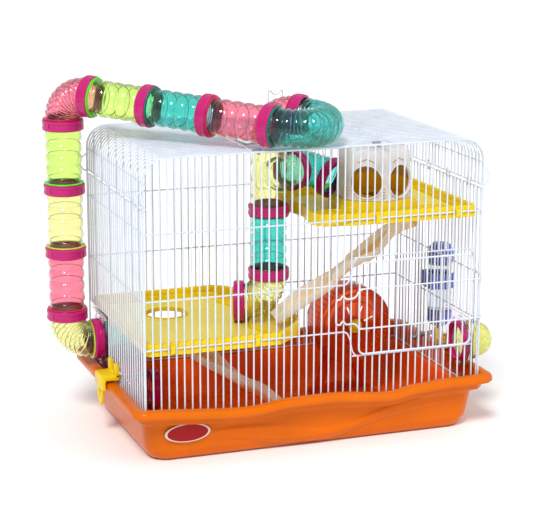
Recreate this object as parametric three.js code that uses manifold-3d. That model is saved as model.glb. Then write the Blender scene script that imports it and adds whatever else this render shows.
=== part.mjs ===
// Hamster cage: wire cage on a plastic tray, with platforms, slides, house, wheel, water bottle and tube run.
// Millimetres, +Z up, origin at the middle of the tray's underside.
import * as THREE from 'three';
import { mergeGeometries, mergeVertices } from 'three/addons/utils/BufferGeometryUtils.js';
import Module from 'manifold-3d';

const wasm = await Module();
wasm.setup();

// ---- driving dimensions ----
const GAP = 0.3;
const WIRE = 2.2;
const CAGE = {
  halfX: 225, halfY: 133, sideHalfY: 127.4, pitch: 10, backPitch: 30, sidePitch: 19.6, cornerR: 28,
};
const LEVEL = { frame: 54, low: 147, mid: 208, high: 291, skirt: 325, side: 320, roof: 384 };
const DOOR_HOLE = { x0: 50, x1: 215, z0: 114, z1: 242 };
const DOOR = { x0: 55, x1: 210, z0: 117, z1: 236, barLow: 150.2, barHigh: 202, y: -135.6 };
const LATCH = { x: 23.5, z0: 158, z1: 191 };
const HATCH = { x0: -80, x1: 98, y0: -124.5, y1: 42 };
const PLATE = { span: 84, thick: 2.4, hole: 28.6 };
const TUBE = { r: 23.6, wall: 1.7, pitch: 83.5, bendR: 31.5, returnR: 44, sides: 12 };
const RING = { inner: 24.8, outer: 27, half: 7 };
const WALL_RING = new THREE.Vector3(-231, 78, 107.6);
const RUN = { azimuth: -44.5, slope: -4.46, columnX: -269.5 };
const TEE = { branchAzimuth: 35, branch: 52, length: 86 };
const WHEEL = { x: 112, y0: 13, y1: 57, z: 110, r: 54, wall: 2, axle: 3 };
const HOUSE = { x: 105.4, y: -58, z: 305.2, height: 66, r: 52.4, topR: 45, wall: 1.8, turn: -95 };
const DOORWAY = { r: 20.3, z: 24.5, turns: [-30, 30] };
const PLATFORM = { low: 138.4, lowTop: 154, high: 283, highTop: 298, floor: 3 };
const SLIDE = { width: 30, height: 15, wall: 1.6 };
const CLIP = {
  hingeX: 229.3, hingeZ: 97, prongR: 2.3, outer: 249, halfY: 20, slotY: 8, ringY: 11, ringZ: 42, rightY: -10,
};
const BOTTLE = { x: 247.6, y: 34.3, capZ: 93, bodyZ: 115.4, holderZ: 149, holderH: 22 };
const DOME = { y: -80, z: 104, r: 24 };
const deg = THREE.MathUtils.degToRad;
const V = (x, y, z) => new THREE.Vector3(x, y, z);

const COLOUR = {
  orange: 0xe87400, wire: 0xd8deea, yellow: 0xf2cd00, magenta: 0xc0207a, clearYellow: 0xe2e680,
  green: 0xb4e85a, teal: 0x2fb8a2, pink: 0xf0748e, beige: 0xe3cfa6, house: 0xe6e2f2, blue: 0x3f62c8,
  clear: 0xdfe6ea, steel: 0xb9bcc0, wheel: 0xd64a10,
};
const cage = new THREE.Group();

// ---- helpers ----
function plastic(color, roughness = 0.35, opacity = 1) {
  return new THREE.MeshStandardMaterial({
    color, roughness, metalness: 0, opacity, transparent: opacity < 1,
  });
}

function add(name, geometry, material) {
  const mesh = new THREE.Mesh(geometry, material);
  mesh.name = name;
  cage.add(mesh);
  return mesh;
}

function solid(geometry) {
  const bare = geometry.clone();
  bare.deleteAttribute('normal');
  bare.deleteAttribute('uv');
  const merged = mergeVertices(bare, 1e-4);
  return new wasm.Manifold(new wasm.Mesh({
    numProp: 3,
    vertProperties: new Float32Array(merged.attributes.position.array),
    triVerts: new Uint32Array(merged.index.array),
  }));
}

function geometryOf(manifold) {
  const mesh = manifold.getMesh();
  const geometry = new THREE.BufferGeometry();
  geometry.setAttribute('position', new THREE.BufferAttribute(new Float32Array(mesh.vertProperties), 3));
  geometry.setIndex(Array.from(mesh.triVerts));
  return geometry;
}

function boxBetween(x0, x1, y0, y1, z0, z1) {
  const box = new THREE.BoxGeometry(x1 - x0, y1 - y0, z1 - z0);
  return box.translate((x0 + x1) / 2, (y0 + y1) / 2, (z0 + z1) / 2);
}

function extrude(shape, depth, curveSegments = 8) {
  return new THREE.ExtrudeGeometry(shape, { depth, bevelEnabled: false, curveSegments });
}

// A shape drawn in (x, z), extruded along +Y from y0 to y1.
function extrudeAlongY(shape, y0, y1, curveSegments = 8) {
  return extrude(shape, y1 - y0, curveSegments).rotateX(Math.PI / 2).translate(0, y1, 0);
}

// A shape drawn in (y, z), extruded along +X from x0 to x1.
function extrudeAlongX(shape, x0, x1, curveSegments = 8) {
  const geometry = extrude(shape, x1 - x0, curveSegments);
  return geometry.rotateX(Math.PI / 2).rotateZ(Math.PI / 2).translate(x0, 0, 0);
}

function cylinder(radius, length, sides, at, axis) {
  const geometry = new THREE.CylinderGeometry(radius, radius, length, sides);
  geometry.applyQuaternion(new THREE.Quaternion().setFromUnitVectors(V(0, 1, 0), axis));
  return geometry.translate(at.x, at.y, at.z);
}

// A closed loft through star-shaped loops of equal point count; each end is a fan round its centre.
function loft(loops) {
  const count = loops[0].length;
  const points = loops.flat();
  const index = [];
  for (let k = 0; k + 1 < loops.length; k++) {
    for (let i = 0; i < count; i++) {
      const j = (i + 1) % count;
      const [a, b, c, d] = [k * count + i, k * count + j, (k + 1) * count + j, (k + 1) * count + i];
      index.push(a, b, c, a, c, d);
    }
  }
  for (const [loop, flip] of [[0, true], [loops.length - 1, false]]) {
    const centre = loops[loop].reduce((sum, p) => sum.add(p), V(0, 0, 0)).divideScalar(count);
    const hub = points.push(centre) - 1;
    for (let i = 0; i < count; i++) {
      const [a, b] = [loop * count + i, loop * count + (i + 1) % count];
      index.push(...(flip ? [hub, b, a] : [hub, a, b]));
    }
  }
  const geometry = new THREE.BufferGeometry();
  const flat = points.flatMap((p) => [p.x, p.y, p.z]);
  geometry.setAttribute('position', new THREE.Float32BufferAttribute(flat, 3));
  geometry.setIndex(index);
  return geometry;
}

// ---- tray ----
// Height change of the front rim at x: two shallow dips, each falling slowly and rising fast.
function rimWave(x) {
  const knots = [
    [-243, 0], [-93, -9], [-38, -3.4], [10, -2.8], [97, -9.3], [135, -3.5], [175, -0.8], [243, 0],
  ];
  const k = knots.findIndex(([kx], i) => i > 0 && x <= kx);
  if (k < 1) return 0;
  const [[x0, z0], [x1, z1]] = [knots[k - 1], knots[k]];
  return z0 + (z1 - z0) * (0.5 - 0.5 * Math.cos(Math.PI * (x - x0) / (x1 - x0)));
}

const frontPoints = 16;

function trayLoop(offset, radius, z, wave) {
  const [hx, hy] = [CAGE.halfX + offset - radius, CAGE.halfY + offset - radius];
  const loop = [];
  const corner = (cx, cy, start) => {
    for (let i = 0; i <= 4; i++) {
      const angle = deg(start + i * 22.5);
      loop.push(V(cx + radius * Math.cos(angle), cy + radius * Math.sin(angle), z));
    }
  };
  corner(-hx, -hy, 180);
  for (let i = 1; i < frontPoints; i++) loop.push(V(-hx + 2 * hx * i / frontPoints, -hy - radius, z));
  corner(hx, -hy, 270);
  corner(hx, hy, 0);
  corner(-hx, hy, 90);
  return loop.map((p) => {
    const front = THREE.MathUtils.clamp((-p.y - 118) / 12, 0, 1);
    return V(p.x, p.y, p.z + wave * front * rimWave(p.x));
  });
}

function tray() {
  const outside = [
    [-70, 30, 0, 0], [-66, 30, 1, 0], [-17, 22, 1, 0], [-11, 24, 4, 0], [-6, 24, 14, 0], [-0.6, 22, 47, 0.4],
    [3.4, 20, 50.5, 0.7], [8.4, 18, 55.5, 1], [9.8, 18, 62.5, 1], [18, 18, 64.5, 1], [19, 18, 70, 1],
    [15.5, 17, 74.5, 1],
  ];
  const inside = [
    [5, 5, 75, 1], [3.4, 4, 71, 1], [3, 4, 52.5, 0], [-8, 12, 50, 0],
    [-11, 16, 20, 0], [-16, 16, 7, 0], [-22, 14, 3.2, 0],
  ];
  const shell = solid(loft([...outside, ...inside].map((row) => trayLoop(...row))));
  const foot = (sx, sy) => solid(cylinder(7, 3, 12, V(sx * 185, sy * 98, 1.5), V(0, 0, 1)));
  return geometryOf(shell.add(foot(-1, -1)).add(foot(1, -1)).add(foot(1, 1)).add(foot(-1, 1)));
}

// ---- wire panels ----
// Outline with rounded upper corners, drawn in (x, z).
function archOutline(halfX, z0, z1, radius) {
  const shape = new THREE.Shape();
  shape.moveTo(-halfX, z0);
  shape.lineTo(halfX, z0);
  shape.lineTo(halfX, z1 - radius);
  shape.absarc(halfX - radius, z1 - radius, radius, 0, Math.PI / 2, false);
  shape.lineTo(-halfX + radius, z1);
  shape.absarc(-halfX + radius, z1 - radius, radius, Math.PI / 2, Math.PI, false);
  shape.closePath();
  return shape;
}

// One solid holding every separate box in the list.
const boxes = (list) => solid(mergeGeometries(list.map((box) => boxBetween(...box))));

// Cells of a wire panel between upright wires (first, pitch, count) and cross wires (levels).
function cells(first, pitch, count, levels, across) {
  const h = WIRE / 2;
  const list = [];
  for (let i = 0; i < count; i++) {
    const a0 = first + i * pitch + h;
    for (let r = 0; r + 1 < levels.length; r++) {
      list.push(across(a0, a0 + pitch - WIRE, levels[r] + h, levels[r + 1] - h));
    }
  }
  return list;
}

// Front or back panel at y; hole is a framed opening for the door.
function endPanel(y, pitch, levels, hole) {
  const h = WIRE / 2;
  const reachY = [y - h - 1, y + h + 1];
  const outer = archOutline(CAGE.halfX + h, LEVEL.frame - h, LEVEL.roof + h, CAGE.cornerR + h);
  const inner = archOutline(CAGE.halfX - h, LEVEL.frame + h, LEVEL.roof - h, CAGE.cornerR - h);
  const count = Math.round(2 * CAGE.halfX / pitch);
  const list = cells(-CAGE.halfX, pitch, count, levels, (x0, x1, z0, z1) => [x0, x1, ...reachY, z0, z1]);
  let open = boxes(list).intersect(solid(extrudeAlongY(inner, ...reachY, 3)));
  if (hole) {
    open = open.subtract(boxes([[hole.x0 - h, hole.x1 + h, ...reachY, hole.z0 - h, hole.z1 + h]]));
    open = open.add(boxes([[hole.x0 + h, hole.x1 - h, ...reachY, hole.z0 + h, hole.z1 - h]]));
  }
  return geometryOf(solid(extrudeAlongY(outer, y - h, y + h, 3)).subtract(open));
}

// The plate opening takes whole wire columns round the plate's centre.
function plateOpening(centreY) {
  const h = WIRE / 2;
  const fine = CAGE.sidePitch / 2;
  const first = Math.round((centreY - PLATE.span / 2 + CAGE.sideHalfY) / fine);
  const y0 = -CAGE.sideHalfY + first * fine + h;
  return { y0, y1: y0 + 9 * fine - WIRE };
}

function sidePanel(x, levels, opening) {
  const h = WIRE / 2;
  const reachX = [x - h - 1, x + h + 1];
  const count = Math.round(2 * CAGE.sideHalfY / CAGE.sidePitch);
  const across = (y0, y1, z0, z1) => [...reachX, y0, y1, z0, z1];
  const list = cells(-CAGE.sideHalfY, CAGE.sidePitch, count, levels, across)
    .filter(([, , y0, y1, z0]) => z0 > LEVEL.low || y1 < opening.y0 - WIRE || y0 > opening.y1 + WIRE);
  list.push([...reachX, opening.y0, opening.y1, LEVEL.frame + h, LEVEL.low - h]);
  const half = CAGE.sideHalfY + h;
  const sheet = boxes([[x - h, x + h, -half, half, LEVEL.frame - h, LEVEL.side + h]]);
  return geometryOf(sheet.subtract(boxes(list)));
}

// Arched roof: wires across the cage that bend down both sides into short skirts.
function roofPanel() {
  const h = WIRE / 2;
  const halfY = CAGE.halfY - WIRE - GAP;
  const outer = archOutline(CAGE.halfX + h, LEVEL.skirt - h, LEVEL.roof + h, CAGE.cornerR + h);
  const inner = archOutline(CAGE.halfX - h, LEVEL.skirt - 20, LEVEL.roof - h, CAGE.cornerR - h);
  const arch = solid(extrudeAlongY(outer, -halfY, halfY, 2));
  const under = solid(extrudeAlongY(inner, -halfY - 1, halfY + 1, 2));
  const wires = 14;
  const pitch = (2 * halfY - WIRE) / (wires - 1);
  const [left, right] = [HATCH.x0 - 1.5, HATCH.x1 + 1.5];
  const list = [[left, right, HATCH.y0 - 1.5, HATCH.y1 + 1.5, 370, 400]];
  for (let i = 0; i + 1 < wires; i++) {
    const y0 = -halfY + i * pitch + WIRE;
    const y1 = y0 + pitch - WIRE;
    const beside = y1 > HATCH.y0 - 1.5 - WIRE && y0 < HATCH.y1 + 1.5 + WIRE;
    const spans = beside ? [[-300, left - WIRE], [right + WIRE, 300]] : [[-300, 300]];
    for (const [x0, x1] of spans) list.push([x0, x1, y0, y1, LEVEL.skirt + h, LEVEL.roof + 9]);
  }
  return geometryOf(arch.subtract(under).subtract(boxes(list)));
}

// Wire hatch that closes the roof opening, with a solid plate round the tube.
function roofHatch(tubeAt) {
  const half = PLATE.span / 2;
  const rows = 16;
  const pitch = (HATCH.y1 - HATCH.y0 - WIRE) / rows;
  const [z0, z1] = [LEVEL.roof - WIRE / 2, LEVEL.roof + WIRE / 2];
  const list = [];
  for (let i = 0; i < rows; i++) {
    const y0 = HATCH.y0 + i * pitch + WIRE;
    const y1 = y0 + pitch - WIRE;
    const beside = y1 > tubeAt.y - half && y0 < tubeAt.y + half;
    list.push([beside ? tubeAt.x + half : HATCH.x0 + WIRE, HATCH.x1 - WIRE, y0, y1, z0 - 1, z1 + 1]);
  }
  const plate = boxes([[HATCH.x0, HATCH.x1, HATCH.y0, HATCH.y1, z0, z1]]);
  const hole = solid(cylinder(PLATE.hole, 10, 24, V(tubeAt.x, tubeAt.y, LEVEL.roof), V(0, 0, 1)));
  return geometryOf(plate.subtract(boxes(list)).subtract(hole));
}

// Wire door: bars, frame, latch loop on the left and two eyes round the corner wire.
function frontDoor() {
  const h = WIRE / 2;
  const [y0, y1] = [DOOR.y - h, DOOR.y + h];
  const columns = 15;
  const pitch = (DOOR.x1 - DOOR.x0) / columns;
  const levels = [DOOR.z0, DOOR.barLow, DOOR.barHigh, DOOR.z1];
  const list = cells(DOOR.x0, pitch, columns, levels, (x0, x1, z0, z1) => [x0, x1, y0 - 1, y1 + 1, z0, z1]);
  let door = boxes([[DOOR.x0 - h, DOOR.x1 + h, y0, y1, DOOR.z0 - h, DOOR.z1 + h]]).subtract(boxes(list));
  const { x, z0, z1 } = LATCH;
  door = door.add(boxes([[x - h, DOOR.x0, y0, y1, z0 - h, z1 + h]])
    .subtract(boxes([[x + h, DOOR.x0 - h, y0 - 1, y1 + 1, z0 + h, z1 - h]])));
  for (const z of [DOOR.barLow, DOOR.barHigh]) {
    const eye = solid(cylinder(4, WIRE, 12, V(CAGE.halfX, -CAGE.halfY, z), V(0, 0, 1)));
    const bar = boxes([[DOOR.x1, CAGE.halfX, y0, y1, z - h, z + h]]);
    const bore = solid(cylinder(2.1, WIRE + 2, 12, V(CAGE.halfX, -CAGE.halfY, z), V(0, 0, 1)));
    door = door.add(eye.add(bar).subtract(bore));
  }
  return geometryOf(door);
}

function roofLoop() {
  const points = [[-14, 387], [-12, 437], [-3, 431], [6, 437], [8, 387]];
  let loop = null;
  const y = 14;
  for (let i = 0; i + 1 < points.length; i++) {
    const [a, b] = [V(points[i][0], y, points[i][1]), V(points[i + 1][0], y, points[i + 1][1])];
    const axis = b.clone().sub(a);
    const rod = solid(cylinder(1.1, axis.length() + 1.2, 6, a.clone().lerp(b, 0.5), axis.normalize()));
    loop = loop ? loop.add(rod) : rod;
  }
  return geometryOf(loop);
}

function tubePlate(x, opening, centreY, centreZ) {
  const [z0, z1] = [LEVEL.frame + WIRE / 2 + GAP, LEVEL.low - WIRE / 2 - GAP];
  const half = PLATE.thick / 2;
  const plate = boxes([[x - half, x + half, opening.y0 + GAP, opening.y1 - GAP, z0, z1]]);
  return geometryOf(plate.subtract(solid(cylinder(PLATE.hole, 10, 24, V(x, centreY, centreZ), V(1, 0, 0)))));
}

// Clip hinged on a wire above the rim: two prongs, a broad bridge over the rim and a pull ring outside it.
function trayClip(side) {
  const { hingeX, hingeZ, prongR, outer, halfY, slotY, ringY, ringZ } = CLIP;
  const profile = new THREE.Shape();
  profile.absarc(hingeX, hingeZ, prongR, 0, Math.PI, false);
  profile.lineTo(hingeX - prongR, 79);
  profile.lineTo(outer - 4.8, 78.6);
  profile.lineTo(outer - 3.8, 74);
  profile.lineTo(outer - 3.8, ringZ);
  profile.lineTo(outer, ringZ);
  profile.lineTo(outer + 0.4, 76);
  profile.lineTo(outer - 2, 82.6);
  profile.lineTo(hingeX + prongR, 83.6);
  profile.closePath();
  const cutters = boxes([
    [220, 236, -slotY, slotY, 86, 110],
    [outer - 9, outer + 6, ringY, halfY + 1, ringZ - 1, 70],
    [outer - 9, outer + 6, -halfY - 1, -ringY, ringZ - 1, 70],
  ]);
  const finger = new THREE.Shape();
  finger.moveTo(-6, 63);
  finger.lineTo(6, 63);
  finger.lineTo(0, 47);
  finger.closePath();
  const clip = solid(extrudeAlongY(profile, -halfY, halfY)).subtract(cutters)
    .subtract(solid(extrudeAlongX(finger, outer - 9, outer + 6)));
  const geometry = geometryOf(clip);
  return side < 0 ? geometry.rotateZ(Math.PI) : geometry.translate(0, CLIP.rightY, 0);
}

// ---- platforms, slides and house ----
function roundedRect(x0, y0, x1, y1, r) {
  const shape = new THREE.Shape();
  shape.moveTo(x0 + r, y0);
  shape.lineTo(x1 - r, y0);
  shape.absarc(x1 - r, y0 + r, r, -Math.PI / 2, 0, false);
  shape.lineTo(x1, y1 - r);
  shape.absarc(x1 - r, y1 - r, r, 0, Math.PI / 2, false);
  shape.lineTo(x0 + r, y1);
  shape.absarc(x0 + r, y1 - r, r, Math.PI / 2, Math.PI, false);
  shape.lineTo(x0, y0 + r);
  shape.absarc(x0 + r, y0 + r, r, Math.PI, 1.5 * Math.PI, false);
  return shape;
}

// Hooks reach over the panel's horizontal wire at y = wireY between two upright wires.
function platformHook(x, z, side) {
  const wireY = side * CAGE.halfY;
  const inner = wireY - side * (WIRE / 2 + GAP);
  const outer = wireY + side * (WIRE / 2 + GAP);
  const far = outer + side * 2;
  const span = (a, b) => [Math.min(a, b), Math.max(a, b)];
  const lid = solid(boxBetween(x - 2.9, x + 2.9, ...span(inner - side * 6, far), z + 1.5, z + 4));
  const lip = solid(boxBetween(x - 2.9, x + 2.9, ...span(outer, far), z - 5, z + 2));
  return lid.add(lip);
}

function lowerPlatform() {
  const [z0, z1] = [PLATFORM.low, PLATFORM.lowTop];
  const edge = [[-40, -118], [-20, -104], [-4, -82], [3, -50], [3, -8], [-10, 12], [-24, 40], [-32, 110]];
  const outline = new THREE.Shape();
  outline.moveTo(-214, -130);
  outline.lineTo(-56, -130);
  outline.splineThru(edge.map(([x, y]) => new THREE.Vector2(x, y)));
  outline.lineTo(-52, 130);
  outline.lineTo(-214, 130);
  outline.lineTo(-221, 123);
  outline.lineTo(-221, -123);
  outline.closePath();
  let deck = solid(extrude(outline, z1 - z0, 2).translate(0, 0, z0));
  const well = roundedRect(-214, -118, -38, 118, 16);
  deck = deck.subtract(solid(extrude(well, 30, 3).translate(0, 0, z0 + PLATFORM.floor)));
  const hatch = cylinder(27, 20, 20, V(-144, 46, z0), V(0, 0, 1));
  deck = deck.subtract(solid(hatch));
  const elbowSeat = roundedRect(-60, -62, -3, 6, 4);
  deck = deck.subtract(solid(extrude(elbowSeat, 30, 2).translate(0, 0, z0 + PLATFORM.floor)));
  const slideLanding = boxBetween(-40, 20, -94, -61.5, z0 + 7, z1 + 5);
  deck = deck.subtract(solid(slideLanding));
  const level = LEVEL.low;
  for (const [x, side] of [[-190, -1], [-80, -1], [-190, 1], [-80, 1]]) {
    deck = deck.add(platformHook(x, level, side));
  }
  return geometryOf(deck);
}

function upperPlatform() {
  const [z0, z1] = [PLATFORM.high, PLATFORM.highTop];
  const edge = [[46, -129], [12, -122], [0, -102], [4, -80], [8, -55], [2, -25], [0, 0], [6, 36], [26, 52]];
  const outline = new THREE.Shape();
  outline.moveTo(214, -130);
  outline.lineTo(220, -124);
  outline.lineTo(220, 56);
  outline.lineTo(210, 66);
  outline.lineTo(40, 60);
  outline.splineThru(edge.reverse().map(([x, y]) => new THREE.Vector2(x, y)));
  outline.lineTo(60, -130);
  outline.closePath();
  let deck = solid(extrude(outline, z1 - z0, 2).translate(0, 0, z0));
  const well = roundedRect(14, -119, 210, 50, 18);
  deck = deck.subtract(solid(extrude(well, 30, 3).translate(0, 0, z0 + PLATFORM.floor)));
  const rise = HOUSE.z - GAP - z0 - PLATFORM.floor + 0.1;
  const mound = cylinder(HOUSE.r + 3, rise, 6, V(0, 0, HOUSE.z - GAP - rise / 2), V(0, 0, 1));
  mound.rotateZ(deg(HOUSE.turn + 90)).translate(HOUSE.x, HOUSE.y, 0);
  deck = deck.add(solid(mound));
  const exit = roundedRect(150, -112, 200, -62, 12);
  deck = deck.subtract(solid(extrude(exit, 40, 3).translate(0, 0, z0 - 5)));
  for (const x of [80, 190]) deck = deck.add(platformHook(x, LEVEL.high, -1));
  for (const y of [-63.7, 24.5]) {
    const lid = solid(boxBetween(214, CAGE.halfX + 3.4, y - 2.8, y + 2.8, LEVEL.high + 1.5, LEVEL.high + 4));
    const [lip0, lip1] = [CAGE.halfX + 1.4, CAGE.halfX + 3.4];
    const lip = solid(boxBetween(lip0, lip1, y - 2.8, y + 2.8, LEVEL.high - 5, LEVEL.high + 3));
    deck = deck.add(lid).add(lip);
  }
  return geometryOf(deck);
}

function house() {
  const hexLoop = (radius, z) => Array.from({ length: 18 }, (_, i) => {
    const angle = deg(HOUSE.turn + i * 20);
    const side = deg(((i * 20) % 60) - 30);
    const flat = radius * Math.cos(deg(30)) / Math.cos(side);
    const r = Math.min(flat, radius * 0.965);
    return V(HOUSE.x + r * Math.cos(angle), HOUSE.y + r * Math.sin(angle), HOUSE.z + z);
  });
  const { r, topR, wall, height } = HOUSE;
  const lower = topR + 3;
  const loops = [
    hexLoop(r, 0), hexLoop(lower, height - 12), hexLoop(topR, height - 3), hexLoop(topR - 8, height),
    hexLoop(topR - 9, height - wall), hexLoop(topR - wall, height - 4.5),
    hexLoop(lower - wall, height - 12.5), hexLoop(r - wall, 0),
  ];
  const below = (loop) => loop.map((p) => V(p.x, p.y, p.z - 1));
  const cavity = solid(loft(loops.slice(4).reverse().map((loop, i) => (i === 0 ? below(loop) : loop))));
  let shell = solid(loft(loops.slice(0, 4))).subtract(cavity);
  for (const turn of DOORWAY.turns) {
    const angle = deg(HOUSE.turn + turn);
    const axis = V(Math.cos(angle), Math.sin(angle), 0);
    const at = V(HOUSE.x + axis.x * 45, HOUSE.y + axis.y * 45, HOUSE.z + DOORWAY.z);
    shell = shell.subtract(solid(cylinder(DOORWAY.r, 40, 16, at, axis)));
  }
  return geometryOf(shell);
}

// U-channel along a spline: flat floor with a low wall on each side.
function channel(points, steps) {
  const { width, height, wall } = SLIDE;
  const curve = new THREE.CatmullRomCurve3(points.map((p) => V(...p)));
  const loops = [];
  for (let i = 0; i <= steps; i++) {
    const at = curve.getPointAt(i / steps);
    const along = curve.getTangentAt(i / steps);
    const across = V(along.y, -along.x, 0).normalize();
    const up = across.clone().cross(along).normalize();
    const w = width / 2;
    const section = [
      [-w, height], [-w, 0.35 * height], [-0.55 * w, 0], [0.55 * w, 0], [w, 0.35 * height], [w, height],
      [w - wall, height], [w - wall, 0.4 * height], [0.5 * w, wall], [-0.5 * w, wall],
      [wall - w, 0.4 * height], [wall - w, height],
    ];
    loops.push(section.map(([s, t]) => at.clone().addScaledVector(across, s).addScaledVector(up, t)));
  }
  return sweep(loops);
}

// Closed skin through equal loops whose sections fold in half from end to end, as a channel's do.
function sweep(loops) {
  const count = loops[0].length;
  const index = [];
  for (let k = 0; k + 1 < loops.length; k++) {
    for (let i = 0; i < count; i++) {
      const j = (i + 1) % count;
      const [a, b, c, d] = [k * count + i, k * count + j, (k + 1) * count + j, (k + 1) * count + i];
      index.push(c, b, a, d, c, a);
    }
  }
  const last = (loops.length - 1) * count;
  for (let i = 0; i < count / 2 - 1; i++) {
    const [a, b, c, d] = [i, i + 1, count - 2 - i, count - 1 - i];
    index.push(a, b, c, a, c, d);
    index.push(last + c, last + b, last + a, last + d, last + c, last + a);
  }
  const geometry = new THREE.BufferGeometry();
  const flat = loops.flat().flatMap((p) => [p.x, p.y, p.z]);
  geometry.setAttribute('position', new THREE.Float32BufferAttribute(flat, 3));
  geometry.setIndex(index);
  return geometry;
}

// ---- tubes ----
class Bend extends THREE.Curve {
  // Straight stub, arc of the given radius from direction u to direction w, straight stub.
  constructor(start, u, w, radius, stub) {
    super();
    Object.assign(this, { start, u: u.clone().normalize(), w: w.clone().normalize(), radius, stub });
    this.angle = this.u.angleTo(this.w);
    this.normal = this.w.clone().addScaledVector(this.u, -this.u.dot(this.w)).normalize();
    this.total = 2 * stub + radius * this.angle;
  }

  getPoint(t) {
    const s = t * this.total;
    const { start, u, w, radius, stub, angle, normal } = this;
    if (s <= stub) return start.clone().addScaledVector(u, s);
    const a = Math.min((s - stub) / radius, angle);
    const point = start.clone().addScaledVector(u, stub + radius * Math.sin(a));
    point.addScaledVector(normal, radius * (1 - Math.cos(a)));
    return point.addScaledVector(w, Math.max(s - stub - radius * angle, 0));
  }
}

function annulus(outer, inner, sides) {
  const arc = (r) => Array.from({ length: sides }, (_, i) => {
    const angle = 2 * Math.PI * i / sides;
    return new THREE.Vector2(r * Math.cos(angle), r * Math.sin(angle));
  });
  const shape = new THREE.Shape(arc(outer));
  shape.holes.push(new THREE.Path(arc(inner).reverse()));
  return shape;
}

function along(geometry, at, axis) {
  geometry.applyQuaternion(new THREE.Quaternion().setFromUnitVectors(V(0, 0, 1), axis.clone().normalize()));
  return geometry.translate(at.x, at.y, at.z);
}

function straightTube(from, axis, length) {
  const geometry = extrude(annulus(TUBE.r, TUBE.r - TUBE.wall, TUBE.sides), length);
  return along(geometry, from, axis);
}

function ringAt(centre, axis) {
  const geometry = extrude(annulus(RING.outer, RING.inner, TUBE.sides), 2 * RING.half);
  return along(geometry.translate(0, 0, -RING.half), centre, axis);
}

function bentTube(curve, steps) {
  return new THREE.ExtrudeGeometry(annulus(TUBE.r, TUBE.r - TUBE.wall, TUBE.sides), {
    steps, bevelEnabled: false, extrudePath: curve,
  });
}

const halfGap = 0.2;
const reach = (angle) => TUBE.bendR * Math.tan(angle / 2) + RING.half;

// Elbow between two ring centres that share a corner point.
function elbow(corner, u, w) {
  const angle = u.angleTo(w);
  const start = corner.clone().addScaledVector(u, -(reach(angle) - halfGap));
  return bentTube(new Bend(start, u, w, TUBE.bendR, RING.half - halfGap), 6);
}

function tubeRoute() {
  const at = {};
  const runAngle = deg(RUN.azimuth);
  const slope = deg(RUN.slope);
  const up = V(0, 0, 1);
  const down = V(0, 0, -1);
  const run = V(Math.cos(runAngle) * Math.cos(slope), Math.sin(runAngle) * Math.cos(slope), Math.sin(slope));
  const back = run.clone().negate();
  const quarter = reach(Math.PI / 2);
  at.run = run;
  at.wall = WALL_RING.clone();
  at.columnFoot = V(RUN.columnX, WALL_RING.y, WALL_RING.z);
  at.column = [0, 1, 2, 3].map((i) => at.columnFoot.clone().addScaledVector(up, quarter + i * TUBE.pitch));
  at.columnHead = at.column[3].clone().addScaledVector(up, reach(up.angleTo(run)));
  at.bridge = [0, 1, 2, 3].map((i) => at.columnHead.clone()
    .addScaledVector(run, reach(up.angleTo(run)) + i * TUBE.pitch));
  const sideways = V(-Math.sin(runAngle), Math.cos(runAngle), 0);
  at.sideways = sideways;
  at.returned = at.bridge[3].clone().addScaledVector(sideways, 2 * TUBE.returnR);
  at.roofCorner = at.returned.clone().addScaledVector(back, reach(back.angleTo(down)));
  at.roof = at.roofCorner.clone().addScaledVector(down, reach(back.angleTo(down)));
  at.teeBottom = at.roof.clone().addScaledVector(down, TEE.length);
  const branch = deg(TEE.branchAzimuth);
  at.branch = V(Math.cos(branch), Math.sin(branch), 0);
  at.teeCentre = at.roof.clone().addScaledVector(down, TEE.length / 2);
  at.teeSide = at.teeCentre.clone().addScaledVector(at.branch, TEE.branch);
  const tilt = V(Math.sin(branch), -Math.cos(branch), -0.34).normalize();
  at.outletDir = tilt;
  at.sideCorner = at.teeSide.clone().addScaledVector(at.branch, quarter);
  at.sideOutlet = at.sideCorner.clone().addScaledVector(tilt, quarter);
  at.drop = at.teeBottom.clone().addScaledVector(down, TUBE.pitch);
  at.dropCorner = at.drop.clone().addScaledVector(down, quarter);
  const deckDir = deg(160);
  at.deckDir = V(Math.cos(deckDir), Math.sin(deckDir), 0);
  at.deckOutlet = at.dropCorner.clone().addScaledVector(at.deckDir, quarter);
  at.entryCorner = WALL_RING.clone().add(V(quarter, 0, 0));
  at.entry = at.entryCorner.clone().addScaledVector(down, quarter);
  at.floorCorner = at.entry.clone().addScaledVector(down, quarter);
  at.floor = at.floorCorner.clone().add(V(quarter, 0, 0));
  return at;
}

function tee(at) {
  const top = at.roof.z - halfGap;
  const bottom = at.teeBottom.z + halfGap;
  const middleAt = V(at.teeCentre.x, at.teeCentre.y, (top + bottom) / 2);
  const middle = (r, length) => solid(cylinder(r, length, TUBE.sides, middleAt, V(0, 0, 1)));
  const arm = (r, extra) => {
    const length = TEE.branch - halfGap + extra;
    const armAt = at.teeCentre.clone().addScaledVector(at.branch, (TEE.branch - halfGap) / 2 + extra / 2);
    return solid(cylinder(r, length, TUBE.sides, armAt, at.branch));
  };
  const inner = TUBE.r - TUBE.wall;
  return geometryOf(middle(TUBE.r, top - bottom).add(arm(TUBE.r, 0))
    .subtract(middle(inner, top - bottom + 4)).subtract(arm(inner, 4)));
}

// ---- wheel, bottle and dome ----
// Ring-shaped profile of [radius, height] points turned about +Z.
function turned(points, sides) {
  const loop = [...points, points[0]].map(([r, z]) => new THREE.Vector2(r, z));
  return new THREE.LatheGeometry(loop, sides).rotateX(Math.PI / 2);
}

function placedTurned(points, sides, at, axis) {
  const geometry = turned(points, sides);
  const manifold = solid(geometry);
  return along(geometryOf(manifold), at, axis);
}

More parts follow.
